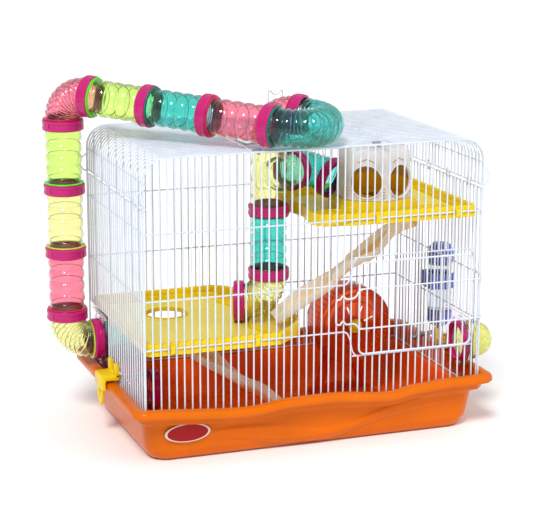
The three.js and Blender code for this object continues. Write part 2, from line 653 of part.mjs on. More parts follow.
function wheelDrum() {
  const depth = WHEEL.y1 - WHEEL.y0;
  const { r, wall } = WHEEL;
  const profile = [
    [4.2, 0], [r - 6, 0], [r, 4], [r, depth], [r - 7, depth], [r - 7, depth - wall], [r - wall, depth - wall],
    [r - wall, 5], [r - 7, wall], [10, wall], [10, 10], [4.2, 10],
  ];
  let drum = solid(placedTurned(profile, 28, V(0, 0, 0), V(0, 0, 1)));
  for (let i = 0; i < 8; i++) {
    const slot = boxBetween(16, 30, -1.6, 1.6, -1, 4).rotateZ(deg(22.5 + i * 45));
    drum = drum.subtract(solid(slot));
  }
  return along(geometryOf(drum), V(WHEEL.x, WHEEL.y0, WHEEL.z), V(0, 1, 0));
}

function wheelStand() {
  const y = WHEEL.y1 + 3;
  const post = new THREE.Shape();
  post.moveTo(WHEEL.x - 40, 8);
  post.lineTo(WHEEL.x + 40, 8);
  post.lineTo(WHEEL.x + 12, WHEEL.z);
  post.absarc(WHEEL.x, WHEEL.z, 12, 0, Math.PI, false);
  post.closePath();
  const window = new THREE.Path();
  window.moveTo(WHEEL.x - 26, 16);
  window.lineTo(WHEEL.x, 84);
  window.lineTo(WHEEL.x + 26, 16);
  window.closePath();
  post.holes.push(window);
  const base = roundedRect(WHEEL.x - 44, WHEEL.y0 - 4, WHEEL.x + 44, y + 22, 12);
  const axleLength = y - WHEEL.y0 - 3.5;
  const axleAt = V(WHEEL.x, y - axleLength / 2 + 0.5, WHEEL.z);
  const axle = cylinder(WHEEL.axle, axleLength + 1, 12, axleAt, V(0, 1, 0));
  return geometryOf(solid(extrudeAlongY(post, y, y + 5))
    .add(solid(extrude(base, 5, 4).translate(0, 0, 3.6)))
    .add(solid(axle)));
}

// Solid of revolution about +Z from a [radius, height] profile that starts and ends on the axis.
function spun(profile, sides) {
  const points = profile.map(([r, z]) => new THREE.Vector2(r, z));
  return solid(new THREE.LatheGeometry(points, sides).rotateX(Math.PI / 2));
}

function bottleBody() {
  const profile = [[0, 0], [15, 0], [18, 4], [18, 86], [16, 95], [0, 95]];
  return geometryOf(spun(profile, 20)).translate(BOTTLE.x, BOTTLE.y, BOTTLE.bodyZ);
}

function bottleNeckCap() {
  const profile = [[0, 0], [9, 0], [15, 5], [18.4, 13], [18.4, 22], [0, 22]];
  return geometryOf(spun(profile, 20)).translate(BOTTLE.x, BOTTLE.y, BOTTLE.capZ);
}

// Bent metal spout from under the neck cap, over the rim and between the wires.
function bottleSpout() {
  const section = annulus(3, 2, 8);
  const inward = V(-0.97, 0, -0.24).normalize();
  const curve = new Bend(V(BOTTLE.x, BOTTLE.y, BOTTLE.capZ - GAP), V(0, 0, -1), inward, 5, 0.6);
  const stub = new THREE.ExtrudeGeometry(section, { steps: 4, bevelEnabled: false, extrudePath: curve });
  const pipe = along(extrude(section, 37), curve.getPoint(1).addScaledVector(inward, -0.4), inward);
  return geometryOf(solid(stub).add(solid(pipe)));
}

// Collar round the bottle with two tongues that grip the side wires.
function bottleHolder() {
  const at = V(BOTTLE.x, BOTTLE.y, BOTTLE.holderZ);
  let holder = solid(extrude(annulus(21, 18.6, 20), BOTTLE.holderH).translate(at.x, at.y, at.z));
  holder = holder.subtract(solid(boxBetween(at.x + 8, at.x + 30, at.y - 11, at.y + 11, at.z - 4, at.z + 26)));
  const back = boxBetween(226.6, 229.4, at.y - 20, at.y + 20, at.z, at.z + BOTTLE.holderH);
  return geometryOf(holder.add(solid(back).subtract(solid(cylinder(18.6, 80, 20, at, V(0, 0, 1))))));
}

function domeCap() {
  const { r } = DOME;
  const wall = 1.6;
  const sleeve = 14;
  const turns = [18, 36, 54, 72].map(deg);
  const crown = (radius) => turns.map((turn) => [radius * Math.cos(turn), 6 + radius * Math.sin(turn)]);
  const outer = [
    [0, -sleeve], [r - 0.4, -sleeve], [r - 0.4, 0], [26, 0], [26, 3], [r, 5], ...crown(r), [0, 6 + r],
  ];
  const inner = [
    [0, -sleeve - 1], [r - 2, -sleeve - 1], [r - 2, 0], [r - wall, 5], ...crown(r - wall), [0, 6 + r - wall],
  ];
  const shell = spun(outer, 16).subtract(spun(inner, 16));
  return along(geometryOf(shell), V(CAGE.halfX + 13.8, DOME.y, DOME.z), V(1, 0, 0));
}

// ---- assembly ----
function addCage(at) {
  const wire = () => plastic(COLOUR.wire, 0.3);
  const levels = [LEVEL.frame, LEVEL.low, LEVEL.high, LEVEL.roof];
  add('tray', tray(), plastic(COLOUR.orange));
  add('front_panel', endPanel(-CAGE.halfY, CAGE.pitch, levels, DOOR_HOLE), wire());
  add('back_panel', endPanel(CAGE.halfY, CAGE.backPitch, [LEVEL.frame, LEVEL.low, LEVEL.roof]), wire());
  const sides = [
    ['left', -CAGE.halfX, WALL_RING, [LEVEL.frame, LEVEL.low, LEVEL.side]],
    ['right', CAGE.halfX, DOME, [LEVEL.frame, LEVEL.low, LEVEL.high, LEVEL.side]],
  ];
  for (const [name, x, { y, z }, sideLevels] of sides) {
    const opening = plateOpening(y);
    add(`${name}_panel`, sidePanel(x, sideLevels, opening), wire());
    add(`${name}_tube_plate`, tubePlate(x, opening, y, z), plastic(COLOUR.clear, 0.1, 0.35));
  }
  add('roof_panel', roofPanel(), wire());
  add('roof_hatch', roofHatch(at.roof), wire());
  add('roof_loop', roofLoop(), wire());
  add('front_door', frontDoor(), wire());
  add('left_tray_clip', trayClip(-1), plastic(COLOUR.yellow));
  add('right_tray_clip', trayClip(1), plastic(COLOUR.yellow));
}

function addFittings() {
  add('lower_platform', lowerPlatform(), plastic(COLOUR.yellow));
  add('upper_platform', upperPlatform(), plastic(COLOUR.yellow));
  add('house', house(), plastic(COLOUR.house, 0.3, 0.6));
  const upperPath = [
    [156, -84, 265], [134, -68, 253], [112, -66, 235], [92, -72, 223], [76, -71, 216], [64, -65, 203],
    [50, -61, 190], [28, -66, 181], [6, -75, 174], [-12, -78, 164], [-30, -76, 149.5],
  ];
  add('upper_slide', channel(upperPath, 22), plastic(COLOUR.beige, 0.25, 0.7));
  const lowerPath = [
    [-150, 12, 120], [-136, -26, 110], [-115, -62, 94], [-82, -68, 70], [-50, -56, 48], [-20, -54, 23],
    [4, -64, 6],
  ];
  add('lower_slide', channel(lowerPath, 16), plastic(COLOUR.beige, 0.25, 0.7));
  add('wheel_stand', wheelStand(), plastic(COLOUR.wheel, 0.2, 0.7));
  add('wheel_drum', wheelDrum(), plastic(COLOUR.wheel, 0.15, 0.6));
  const hubCap = geometryOf(spun([[0, 0], [9.6, 0], [9.6, 2], [6, 4.5], [0, 5]], 16));
  const capAt = V(WHEEL.x, WHEEL.y0 - GAP, WHEEL.z);
  add('wheel_hub_cap', along(hubCap, capAt, V(0, -1, 0)), plastic(COLOUR.yellow));
  add('bottle_body', bottleBody(), plastic(COLOUR.clear, 0.1, 0.4));
  add('bottle_neck_cap', bottleNeckCap(), plastic(COLOUR.blue));
  add('bottle_holder', bottleHolder(), plastic(COLOUR.blue));
  const steel = new THREE.MeshStandardMaterial({ color: COLOUR.steel, roughness: 0.2, metalness: 1 });
  add('bottle_spout', bottleSpout(), steel);
  add('dome_cap', domeCap(), plastic(COLOUR.clearYellow, 0.15, 0.6));
}

function addTubes(at) {
  const tint = (color) => plastic(color, 0.15, 0.6);
  const up = V(0, 0, 1);
  const down = V(0, 0, -1);
  const inward = V(1, 0, 0);
  const piece = TUBE.pitch - 2 * halfGap;
  add('column_bottom_elbow', elbow(at.columnFoot, V(-1, 0, 0), up), tint(COLOUR.clearYellow));
  const straights = [['lower', COLOUR.pink], ['middle', COLOUR.clearYellow], ['upper', COLOUR.green]];
  straights.forEach(([place, color], i) => {
    const from = at.column[i].clone().addScaledVector(up, halfGap);
    add(`column_${place}_tube`, straightTube(from, up, piece), tint(color));
  });
  add('column_top_elbow', elbow(at.columnHead, up, at.run), tint(COLOUR.pink));
  [COLOUR.green, COLOUR.teal, COLOUR.pink].forEach((color, i) => {
    const from = at.bridge[i].clone().addScaledVector(at.run, halfGap);
    add(`bridge_tube_${i + 1}`, straightTube(from, at.run, piece), tint(color));
  });
  add('return_bend', returnBend(at), tint(COLOUR.teal));
  add('roof_elbow', elbow(at.roofCorner, at.run.clone().negate(), down), tint(COLOUR.pink));
  add('tee_junction', tee(at), tint(COLOUR.clearYellow));
  add('tee_side_elbow', elbow(at.sideCorner, at.branch, at.outletDir), tint(COLOUR.teal));
  add('drop_tube', straightTube(at.drop.clone().addScaledVector(up, halfGap), up, piece), tint(COLOUR.teal));
  add('drop_elbow', elbow(at.dropCorner, down, at.deckDir), tint(COLOUR.clearYellow));
  add('entry_elbow', elbow(at.entryCorner, inward, down), tint(COLOUR.teal));
  add('floor_elbow', elbow(at.floorCorner, down, inward), tint(COLOUR.clearYellow));
}

// Half-turn bend made of two quarter arcs in the run's own sloping plane.
function returnBend(at) {
  const start = at.bridge[3].clone().addScaledVector(at.run, halfGap);
  const stub = RING.half - halfGap;
  class HalfTurn extends THREE.Curve {
    getPoint(t) {
      const arc = Math.PI * TUBE.returnR;
      const s = t * (2 * stub + arc);
      const a = THREE.MathUtils.clamp((s - stub) / TUBE.returnR, 0, Math.PI);
      const ahead = Math.min(s, stub) + TUBE.returnR * Math.sin(a) - Math.max(s - stub - arc, 0);
      const point = start.clone().addScaledVector(at.run, ahead);
      return point.addScaledVector(at.sideways, TUBE.returnR * (1 - Math.cos(a)));
    }
  }
  return bentTube(new HalfTurn(), 10);
}

function addRings(at) {
  const rings = {
    ring_left_wall: [at.wall, V(1, 0, 0)],
    ring_tee_side: [at.teeSide, at.branch],
    ring_side_outlet: [at.sideOutlet, at.outletDir],
    ring_tee_bottom: [at.teeBottom, V(0, 0, 1)],
    ring_drop: [at.drop, V(0, 0, 1)],
    ring_deck_outlet: [at.deckOutlet, at.deckDir],
    ring_entry: [at.entry, V(0, 0, 1)],
    ring_floor_outlet: [at.floor, V(1, 0, 0)],
    ring_return: [at.returned, at.run],
    ring_right_wall: [V(CAGE.halfX - 1.5, DOME.y, DOME.z), V(1, 0, 0)],
  };
  at.column.forEach((centre, i) => { rings[`ring_column_${i + 1}`] = [centre, V(0, 0, 1)]; });
  at.bridge.forEach((centre, i) => { rings[`ring_bridge_${i + 1}`] = [centre, at.run]; });
  for (const [name, [centre, axis]] of Object.entries(rings)) {
    add(name, ringAt(centre, axis), plastic(COLOUR.magenta, 0.3));
  }
}

const route = tubeRoute();
addCage(route);
addFittings();
addTubes(route);
addRings(route);

export default cage;
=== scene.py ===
"""Hamster cage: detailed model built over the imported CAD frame. Lengths are millimetres unless noted."""
import math

import bpy
from mathutils import Matrix, Vector


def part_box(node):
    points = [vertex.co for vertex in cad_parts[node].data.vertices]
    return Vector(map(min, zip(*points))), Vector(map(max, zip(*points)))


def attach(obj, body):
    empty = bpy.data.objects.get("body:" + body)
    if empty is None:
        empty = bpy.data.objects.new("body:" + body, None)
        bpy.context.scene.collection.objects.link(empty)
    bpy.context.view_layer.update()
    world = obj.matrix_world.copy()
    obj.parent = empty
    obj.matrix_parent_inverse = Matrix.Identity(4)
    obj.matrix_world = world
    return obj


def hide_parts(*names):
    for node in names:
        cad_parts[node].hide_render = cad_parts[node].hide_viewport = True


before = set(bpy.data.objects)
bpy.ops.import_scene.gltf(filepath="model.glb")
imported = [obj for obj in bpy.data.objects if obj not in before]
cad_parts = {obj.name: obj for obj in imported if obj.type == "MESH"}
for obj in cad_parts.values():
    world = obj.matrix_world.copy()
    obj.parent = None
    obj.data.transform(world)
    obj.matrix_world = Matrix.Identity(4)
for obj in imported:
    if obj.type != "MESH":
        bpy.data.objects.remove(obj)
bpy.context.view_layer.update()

MM = 0.001
X, Y, Z = (1, 0, 0), (0, 1, 0), (0, 0, 1)
WIRE_R = 1.03
CROSSING = WIRE_R * 1.7


# ---- measuring the frame ----
def span(node):
    """Lowest and highest corner of a CAD node, in millimetres."""
    low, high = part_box(node)
    return low / MM, high / MM


def centre(node):
    low, high = span(node)
    return (low + high) / 2


# ---- building meshes ----
def frames(path, closed=False):
    """(point, side, up, ahead) along a path, turned as little as possible from one point to the next."""
    points = [Vector(p) for p in path]
    count = len(points)
    result = []
    side = None
    for i, point in enumerate(points):
        before = points[i - 1] if i or closed else points[i]
        after = points[(i + 1) % count] if i + 1 < count or closed else points[i]
        ahead = (after - before).normalized()
        if side is None:
            side = ahead.orthogonal().normalized()
        side = (side - ahead * side.dot(ahead)).normalized()
        result.append((point, side, ahead.cross(side), ahead))
    return result


def circle(point, side, up, radius, sides):
    step = 2 * math.pi / sides
    return [point + radius * (math.cos(i * step) * side + math.sin(i * step) * up) for i in range(sides)]


class Shape:
    """Points and faces of one piece."""

    def __init__(self):
        self.points = []
        self.faces = []
        self.slots = []

    def loops(self, loops, closed=False):
        """Skin over equal loops: closed joins the last loop to the first, otherwise both ends get a cap."""
        base, count, rows = len(self.points), len(loops[0]), len(loops)
        for loop in loops:
            self.points += [Vector(p) for p in loop]
        new = []
        for k in range(rows if closed else rows - 1):
            a, b = base + k * count, base + (k + 1) % rows * count
            for i in range(count):
                j = (i + 1) % count
                new.append((a + i, a + j, b + j, b + i))
        if not closed:
            new.append(tuple(base + i for i in reversed(range(count))))
            new.append(tuple(base + (rows - 1) * count + i for i in range(count)))
        self.faces += new
        self.slots += [0] * len(new)
        return self

    def rod(self, path, radius=WIRE_R, closed=False, sides=8):
        """Round wire along a path."""
        rings = [circle(p, s, u, radius, sides) for p, s, u, _ in frames(path, closed)]
        return self.loops(rings, closed)

    def turned(self, profile, at, axis, sides=48, closed=True):
        """(radius, height) profile turned about an axis through a point."""
        ahead = Vector(axis).normalized()
        side = ahead.orthogonal().normalized()
        up = ahead.cross(side)
        rings = [circle(Vector(at) + ahead * h, side, up, max(r, 0.01), sides) for r, h in profile]
        return self.loops(rings, closed)

    def add_mesh(self, mesh):
        """Takes in a mesh already in metres."""
        base = len(self.points)
        self.points += [v.co / MM for v in mesh.vertices]
        self.faces += [tuple(base + i for i in p.vertices) for p in mesh.polygons]
        self.slots += [0] * len(mesh.polygons)
        return self

    def mesh(self, name):
        """The bare mesh, in metres."""
        mesh = bpy.data.meshes.new(name)
        mesh.from_pydata([p * MM for p in self.points], [], self.faces)
        return mesh

    def piece(self, name, materials, slot, body="cage", extra=False, sharp=40):
        """Makes the object, smooth except at sharp edges; an extra piece has no CAD node of its own."""
        mesh = self.mesh(name)
        materials = materials if isinstance(materials, (list, tuple)) else [materials]
        for material in materials:
            mesh.materials.append(material)
        mesh.polygons.foreach_set("material_index", self.slots)
        mesh.polygons.foreach_set("use_smooth", [True] * len(mesh.polygons))
        mesh.set_sharp_from_angle(angle=math.radians(sharp))
        mesh.update()
        obj = bpy.data.objects.new(name, mesh)
        bpy.context.scene.collection.objects.link(obj)
        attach(obj, body)
        if not extra:
            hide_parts(name)
        return obj


def slab(loops, depth, bevel=0.4, matrix=None):
    """Flat plate with bevelled edges: the first loop is its outline and the others are holes, as (x, y)."""
    curve = bpy.data.curves.new("slab", "CURVE")
    curve.dimensions = "2D"
    curve.fill_mode = "BOTH"
    curve.extrude = (depth / 2 - bevel) * MM
    curve.bevel_depth = bevel * MM
    curve.bevel_resolution = 1
    curve.offset = -bevel * MM
    for loop in loops:
        spline = curve.splines.new("POLY")
        spline.points.add(len(loop) - 1)
        for point, (x, y) in zip(spline.points, loop):
            point.co = (x * MM, y * MM, 0, 1)
        spline.use_cyclic_u = True
    obj = bpy.data.objects.new("slab", curve)
    bpy.context.scene.collection.objects.link(obj)
    bpy.context.view_layer.update()
    mesh = bpy.data.meshes.new_from_object(obj.evaluated_get(bpy.context.evaluated_depsgraph_get()))
    bpy.data.objects.remove(obj)
    if matrix:
        mesh.transform(matrix)
    return mesh


def placed(at, x_axis, y_axis):
    """Matrix that puts a slab's own x and y along two directions, at a point in millimetres."""
    x, y = Vector(x_axis).normalized(), Vector(y_axis).normalized()
    z = x.cross(y)
    rows = [(x[i], y[i], z[i], at[i] * MM) for i in range(3)]
    return Matrix([*rows, (0, 0, 0, 1)])


def combine(obj, shapes, operation="DIFFERENCE"):
    """Cuts closed shapes out of an object, or with UNION joins them to it."""
    for shape in shapes:
        tool = bpy.data.objects.new("tool", shape.mesh("tool"))
        bpy.context.scene.collection.objects.link(tool)
        modifier = obj.modifiers.new("combine", "BOOLEAN")
        modifier.operation = operation
        modifier.solver = "EXACT"
        modifier.object = tool
        bpy.context.view_layer.update()
        obj.data = bpy.data.meshes.new_from_object(obj.evaluated_get(bpy.context.evaluated_depsgraph_get()))
        obj.modifiers.clear()
        bpy.data.objects.remove(tool)


def arc(cx, cy, radius, start, end, steps):
    """Points (x, y) of an arc, with angles in degrees."""
    turn = [math.radians(start + (end - start) * i / steps) for i in range(steps + 1)]
    return [(cx + radius * math.cos(a), cy + radius * math.sin(a)) for a in turn]


def ellipse(cx, cy, rx, ry, count=40):
    """Closed loop of (x, y)."""
    turn = [math.radians(360 * i / count) for i in range(count)]
    return [(cx + rx * math.cos(a), cy + ry * math.sin(a)) for a in turn]


def rotated(loop, angle):
    c, s = math.cos(angle), math.sin(angle)
    return [(x * c - y * s, x * s + y * c) for x, y in loop]


def rounded(x0, y0, x1, y1, radius, steps=5):
    """Anticlockwise loop of a rectangle with rounded corners, as (x, y)."""
    centres = ((x1, y0, -1, 1), (x1, y1, -1, -1), (x0, y1, 1, -1), (x0, y0, 1, 1))
    return [point for i, (x, y, right, up) in enumerate(centres)
            for point in arc(x + right * radius, y + up * radius, radius, 90 * i - 90, 90 * i, steps)]


def smooth_path(points, steps=8):
    """Catmull-Rom curve through points."""
    points = [Vector(p) for p in points]
    count = len(points)
    result = []
    for i in range(count - 1):
        a, b, c, d = (points[min(max(i + k - 1, 0), count - 1)] for k in range(4))
        for s in range(steps):
            t = s / steps
            result.append(0.5 * (2 * b + (c - a) * t + (2 * a - 5 * b + 4 * c - d) * t ** 2
                                 + (3 * b - a - 3 * c + d) * t ** 3))
    return result + [points[-1]]


def inset(loop, distance):
    """A closed anticlockwise loop of (x, y) moved inwards."""
    count = len(loop)
    result = []
    for i, (x, y) in enumerate(loop):
        (ax, ay), (bx, by) = loop[i - 1], loop[(i + 1) % count]
        dx, dy = bx - ax, by - ay
        size = math.hypot(dx, dy) or 1
        result.append((x - dy / size * distance, y + dx / size * distance))
    return result


def at_height(loop, z):
    return [(x, y, z) for x, y in loop]


# ---- materials ----
def linear(red, green, blue):
    """Screen colour, 0 to 255, as linear light."""
    values = [c / 255 for c in (red, green, blue)]
    return [c / 12.92 if c < 0.04 else ((c + 0.055) / 1.055) ** 2.4 for c in values]


class Nodes:
    """A new material's node tree with its Principled shader."""

    def __init__(self, name):
        self.material = bpy.data.materials.new(name)
        self.material.use_nodes = True
        self.tree = self.material.node_tree
        self.shader = self.tree.nodes["Principled BSDF"]
        self.place = self.new("ShaderNodeTexCoord").outputs["Object"]

    def new(self, kind, **values):
        node = self.tree.nodes.new(kind)
        for key, value in values.items():
            if hasattr(node, key):
                setattr(node, key, value)
            else:
                node.inputs[key.replace("_", " ")].default_value = value
        return node

    def link(self, output, target):
        self.tree.links.new(output, target)

    def noise(self, scale, detail=4.0, roughness=0.55, vector=None):
        node = self.new("ShaderNodeTexNoise", Scale=scale, Detail=detail, Roughness=roughness)
        self.link(vector or self.place, node.inputs["Vector"])
        return node.outputs["Fac"]

    def ramp(self, factor, stops):
        node = self.new("ShaderNodeValToRGB")
        elements = node.color_ramp.elements
        while len(elements) < len(stops):
            elements.new(0.5)
        for element, (position, color) in zip(elements, stops):
            element.position = position
            element.color = (*color, 1)
        self.link(factor, node.inputs["Fac"])
        return node.outputs["Color"]

    def between(self, factor, low, high):
        node = self.new("ShaderNodeMapRange", To_Min=low, To_Max=high)
        self.link(factor, node.inputs["Value"])
        return node.outputs["Result"]

    def bump(self, height, distance):
        node = self.new("ShaderNodeBump", Distance=distance, Strength=1.0)
        self.link(height, node.inputs["Height"])
        return node.outputs["Normal"]

    def drift(self, color, darker, lighter, scale, detail=3):
        """The colour drifting between two shades over the surface."""
        return self.ramp(self.noise(scale, detail), [(0.3, shade(color, darker)),
                                                     (0.7, shade(color, lighter))])

    def finish(self, color, gloss, grain):
        """Colour, uneven gloss (scale, detail, low, high) and surface grain (scale, detail, metres)."""
        self.link(color, self.shader.inputs["Base Color"])
        scale, detail, low, high = gloss
        self.link(self.between(self.noise(scale, detail), low, high), self.shader.inputs["Roughness"])
        scale, detail, depth = grain
        self.link(self.bump(self.noise(scale, detail), depth), self.shader.inputs["Normal"])

    def mixed(self, share, first, second):
        node = self.new("ShaderNodeMixShader", Fac=share)
        self.link(first, node.inputs[1])
        self.link(second, node.inputs[2])
        return node.outputs["Shader"]

    def set(self, **values):
        """Constant values on the shader's own sockets."""
        for key, value in values.items():
            self.shader.inputs[key.replace("_", " ")].default_value = value


ALBEDO = 0.85


def shade(color, factor):
    return [min(c * factor, 1.0) for c in color]


def moulded(name, color, rough=0.3, grain=900, coat=0.0, specular=0.35):
    """Opaque moulded plastic: faint colour drift, fine surface grain and uneven gloss."""
    n = Nodes(name)
    color = shade(color, ALBEDO)
    n.finish(n.drift(color, 0.93, 1.07, 14), (60, 5, rough * 0.75, rough * 1.3), (grain, 3, 0.00003))
    n.set(Coat_Weight=coat, Coat_Roughness=0.12, Specular_IOR_Level=specular)
    return n.material


def see_through(name, color, rough=0.07, ior=1.3, clear=1.0, coat=0.0):
    """Tinted clear plastic with slow ripples from the mould."""
    n = Nodes(name)
    n.finish(n.drift(color, 0.95, 1.05, 22), (90, 4, rough * 0.6, rough * 1.5), (70, 2, 0.00012))
    n.set(Transmission_Weight=clear, IOR=ior, Coat_Weight=coat)
    return n.material


def frosted(name, color, clear, glow_share):
    """Milky plastic: part of the light goes straight through and the rest scatters."""
    n = Nodes(name)
    n.finish(n.drift(color, 0.96, 1.04, 20), (80, 4, 0.14, 0.3), (500, 3, 0.00003))
    glow = n.new("ShaderNodeBsdfTranslucent")
    n.link(n.drift(color, 0.97, 1.03, 20), glow.inputs["Color"])
    milky = n.mixed(glow_share, n.shader.outputs["BSDF"], glow.outputs["BSDF"])
    passing = n.new("ShaderNodeBsdfTransparent")
    n.link(n.drift(color, 0.98, 1.02, 20), passing.inputs["Color"])
    surface = n.mixed(clear, milky, passing.outputs["BSDF"])
    n.link(surface, n.tree.nodes["Material Output"].inputs["Surface"])
    return n.material


def coated_wire():
    """Pale powder coat with a fine orange-peel surface."""
    n = Nodes("wire_coat")
    n.finish(n.drift(linear(212, 220, 232), 0.9, 1.04, 40, 4), (300, 3, 0.2, 0.38), (1600, 3, 0.00004))
    return n.material


def streaked():
    """Pale deck insert with faint streaks along Y."""
    n = Nodes("deck_insert_grain")
    stretch = n.new("ShaderNodeMapping")
    stretch.inputs["Scale"].default_value = (60, 5, 60)
    n.link(n.place, stretch.inputs["Vector"])
    streaks = n.noise(2.2, 6, 0.6, stretch.outputs["Vector"])
    tones = [(0.35, linear(232, 212, 72)), (0.5, linear(238, 220, 90)), (0.62, linear(235, 216, 80))]
    n.link(n.ramp(streaks, tones), n.shader.inputs["Base Color"])
    n.link(n.between(streaks, 0.3, 0.5), n.shader.inputs["Roughness"])
    n.link(n.bump(streaks, 0.0002), n.shader.inputs["Normal"])
    return n.material


def speckled(name, base, spots):
    """Clear plastic with small moulded-in spots."""
    n = Nodes(name)
    cells = n.new("ShaderNodeTexVoronoi", Scale=170.0)
    n.link(n.place, cells.inputs["Vector"])
    color = n.ramp(cells.outputs["Distance"], [(0.28, spots), (0.36, base)])
    n.finish(color, (90, 4, 0.05, 0.14), (70, 2, 0.0003))
    n.set(Transmission_Weight=0.85, IOR=1.3)
    return n.material


def brushed():
    n = Nodes("spout_metal")
    n.finish(n.drift(linear(190, 192, 196), 0.85, 1.05, 200, 4), (400, 3, 0.12, 0.3), (900, 3, 0.00003))
    n.set(Metallic=1.0)
    return n.material


wire = coated_wire()
orange = moulded("tray_orange", linear(226, 108, 0), rough=0.2, grain=1100, specular=0.16)
# Inner faces of the tray: the same plastic painted redder and brighter, a painted bounce-light glow for light
# reflected round the inside of the tray.
orange_painted_bounce = moulded("tray_orange_painted_bounce", linear(255, 98, 10), rough=0.27, grain=1100, specular=0.16)
sticker = moulded("plain_label", linear(164, 14, 20), rough=0.3, specular=0.2)
sticker_edge = moulded("plain_label_edge", linear(232, 222, 210), rough=0.25)
dark = moulded("foot_rubber", linear(60, 44, 40), rough=0.7)
yellow = moulded("fitting_yellow", linear(248, 212, 4), rough=0.3, specular=0.25)
insert_yellow = streaked()
magenta = moulded("ring_magenta", linear(196, 14, 112), rough=0.24, coat=0.2)
blue = moulded("bottle_blue", linear(84, 112, 214), rough=0.28)
grey = moulded("hinge_grey", linear(150, 152, 178), rough=0.35)
# Tan liner colour: painted shade with a painted yellow reflection, for the inside of the frosted white house.
painted_shade_tan = frosted("house_painted_shade_tan", linear(226, 190, 104), 0.1, 0.5)
tub_yellow = frosted("house_tub_yellow", linear(255, 214, 20), 0.05, 0.5)
slit = moulded("house_slit_tan", linear(196, 150, 84), rough=0.4)
beige = frosted("slide_beige", linear(252, 234, 200), 0.04, 0.4)
slide_wall = frosted("slide_wall_pale", linear(254, 250, 242), 0.28, 0.45)
house_clear = frosted("house_frosted", linear(254, 253, 255), 0.2, 0.42)
house_rim = moulded("house_rim", linear(240, 238, 250), rough=0.2)
wheel_clear = see_through("wheel_amber", linear(244, 96, 24), rough=0.1, clear=0.7)
hub_clear = see_through("wheel_hub_gold", linear(240, 170, 30), rough=0.1, clear=0.5)
plate_clear = see_through("wall_plate_clear", linear(246, 240, 246), rough=0.1, ior=1.12)
bottle_clear = see_through("bottle_wall", linear(242, 246, 250), rough=0.06)
water = see_through("bottle_water", linear(236, 244, 250), rough=0.02)
dome_spots = speckled("dome_speckled", linear(252, 252, 190), linear(222, 232, 96))
tint = {
    "yellow": see_through("tube_yellow", linear(250, 249, 204), ior=1.24, coat=0.6),
    "green": see_through("tube_green", linear(234, 253, 178), ior=1.24, coat=0.6),
    "teal": see_through("tube_teal", linear(134, 230, 222), ior=1.24, coat=0.6),
    "pink": see_through("tube_pink", linear(254, 184, 200), ior=1.24, coat=0.6),
}
lip = {
    "yellow": moulded("tube_edge_yellow", linear(206, 206, 60), rough=0.15),
    "green": moulded("tube_edge_green", linear(90, 240, 40), rough=0.15),
    "teal": moulded("tube_edge_teal", linear(0, 120, 110), rough=0.15),
    "pink": moulded("tube_edge_pink", linear(206, 36, 84), rough=0.15),
}
spout_metal = brushed()


# ---- camera, lights and floor ----
def stage():
    camera_data = bpy.data.cameras.new("camera")
    camera = bpy.data.objects.new("camera", camera_data)
    bpy.context.scene.collection.objects.link(camera)
    camera_data.lens = 122.05
    camera_data.sensor_width = 36
    camera_data.clip_end = 60
    camera.location = Vector((-808, -2162, 768)) * MM
    camera.rotation_euler = (math.radians(90 - 13.3), math.radians(-0.1), math.radians(-20.0))
    bpy.context.scene.camera = camera
    floor_mesh = bpy.data.meshes.new("floor")
    reach = 20
    corners = [(-reach, -reach, 0), (reach, -reach, 0), (reach, reach, 0), (-reach, reach, 0)]
    floor_mesh.from_pydata(corners, [], [(0, 1, 2, 3)])
    n = Nodes("floor_pale")
    pale = n.ramp(n.noise(3, 3), [(0.3, (0.93, 0.93, 0.935)), (0.7, (0.96, 0.96, 0.96))])
    n.link(pale, n.shader.inputs["Base Color"])
    n.shader.inputs["Roughness"].default_value = 0.8
    floor_mesh.materials.append(n.material)
    floor = bpy.data.objects.new("floor", floor_mesh)
    bpy.context.scene.collection.objects.link(floor)
    floor.location.z = -0.0004
    world = bpy.data.worlds.new("studio")
    world.use_nodes = True
    world.node_tree.nodes["Background"].inputs["Color"].default_value = (1, 1, 1, 1)
    world.node_tree.nodes["Background"].inputs["Strength"].default_value = 0.62
    bpy.context.scene.world = world
    bpy.context.scene.view_settings.view_transform = "Standard"
    lights = (("key", (-1, -1.5, 2.1), 16, 2.3), ("fill", (1.5, -1, 1.1), 50, 0.6))
    for name, toward, angle, strength in lights:
        light = bpy.data.lights.new(name, "SUN")
        light.angle = math.radians(angle)
        light.energy = strength
        lamp = bpy.data.objects.new(name, light)
        bpy.context.scene.collection.objects.link(lamp)
        lamp.rotation_euler = Vector(toward).to_track_quat("Z", "Y").to_euler()


# ---- wire cage ----
panel_low, panel_high = span("front_panel")
HALF_X = panel_high.x - WIRE_R
FRONT_Y = centre("front_panel").y
BACK_Y = centre("back_panel").y
LEFT_X = centre("left_panel").x
RIGHT_X = centre("right_panel").x
SIDE_Y = span("left_panel")[1].y - WIRE_R
FOOT_Z = panel_low.z + WIRE_R
ROOF_Z = panel_high.z - WIRE_R
SIDE_TOP = span("left_panel")[1].z - WIRE_R
SKIRT_Z = span("roof_panel")[0].z + WIRE_R
CORNER_R = 28
LEVELS = (147, 208, 291)
PITCH = 10
hatch_low, hatch_high = span("roof_hatch")


def arch_height(x):
    """Height of the arched outline at x."""
    over = abs(x) - (HALF_X - CORNER_R)
    return ROOF_Z - CORNER_R + math.sqrt(max(CORNER_R ** 2 - max(over, 0) ** 2, 0))


def arch_path(y, foot):
    left = [(x, y, z) for x, z in arc(-HALF_X + CORNER_R, ROOF_Z - CORNER_R, CORNER_R, 180, 90, 8)]
    right = [(x, y, z) for x, z in arc(HALF_X - CORNER_R, ROOF_Z - CORNER_R, CORNER_R, 90, 0, 8)]
    return [(-HALF_X, y, foot), *left, *right, (HALF_X, y, foot)]


def wire_positions(half, pitch):
    count = round(2 * half / pitch)
    return [-half + 2 * half * i / count for i in range(count + 1)]


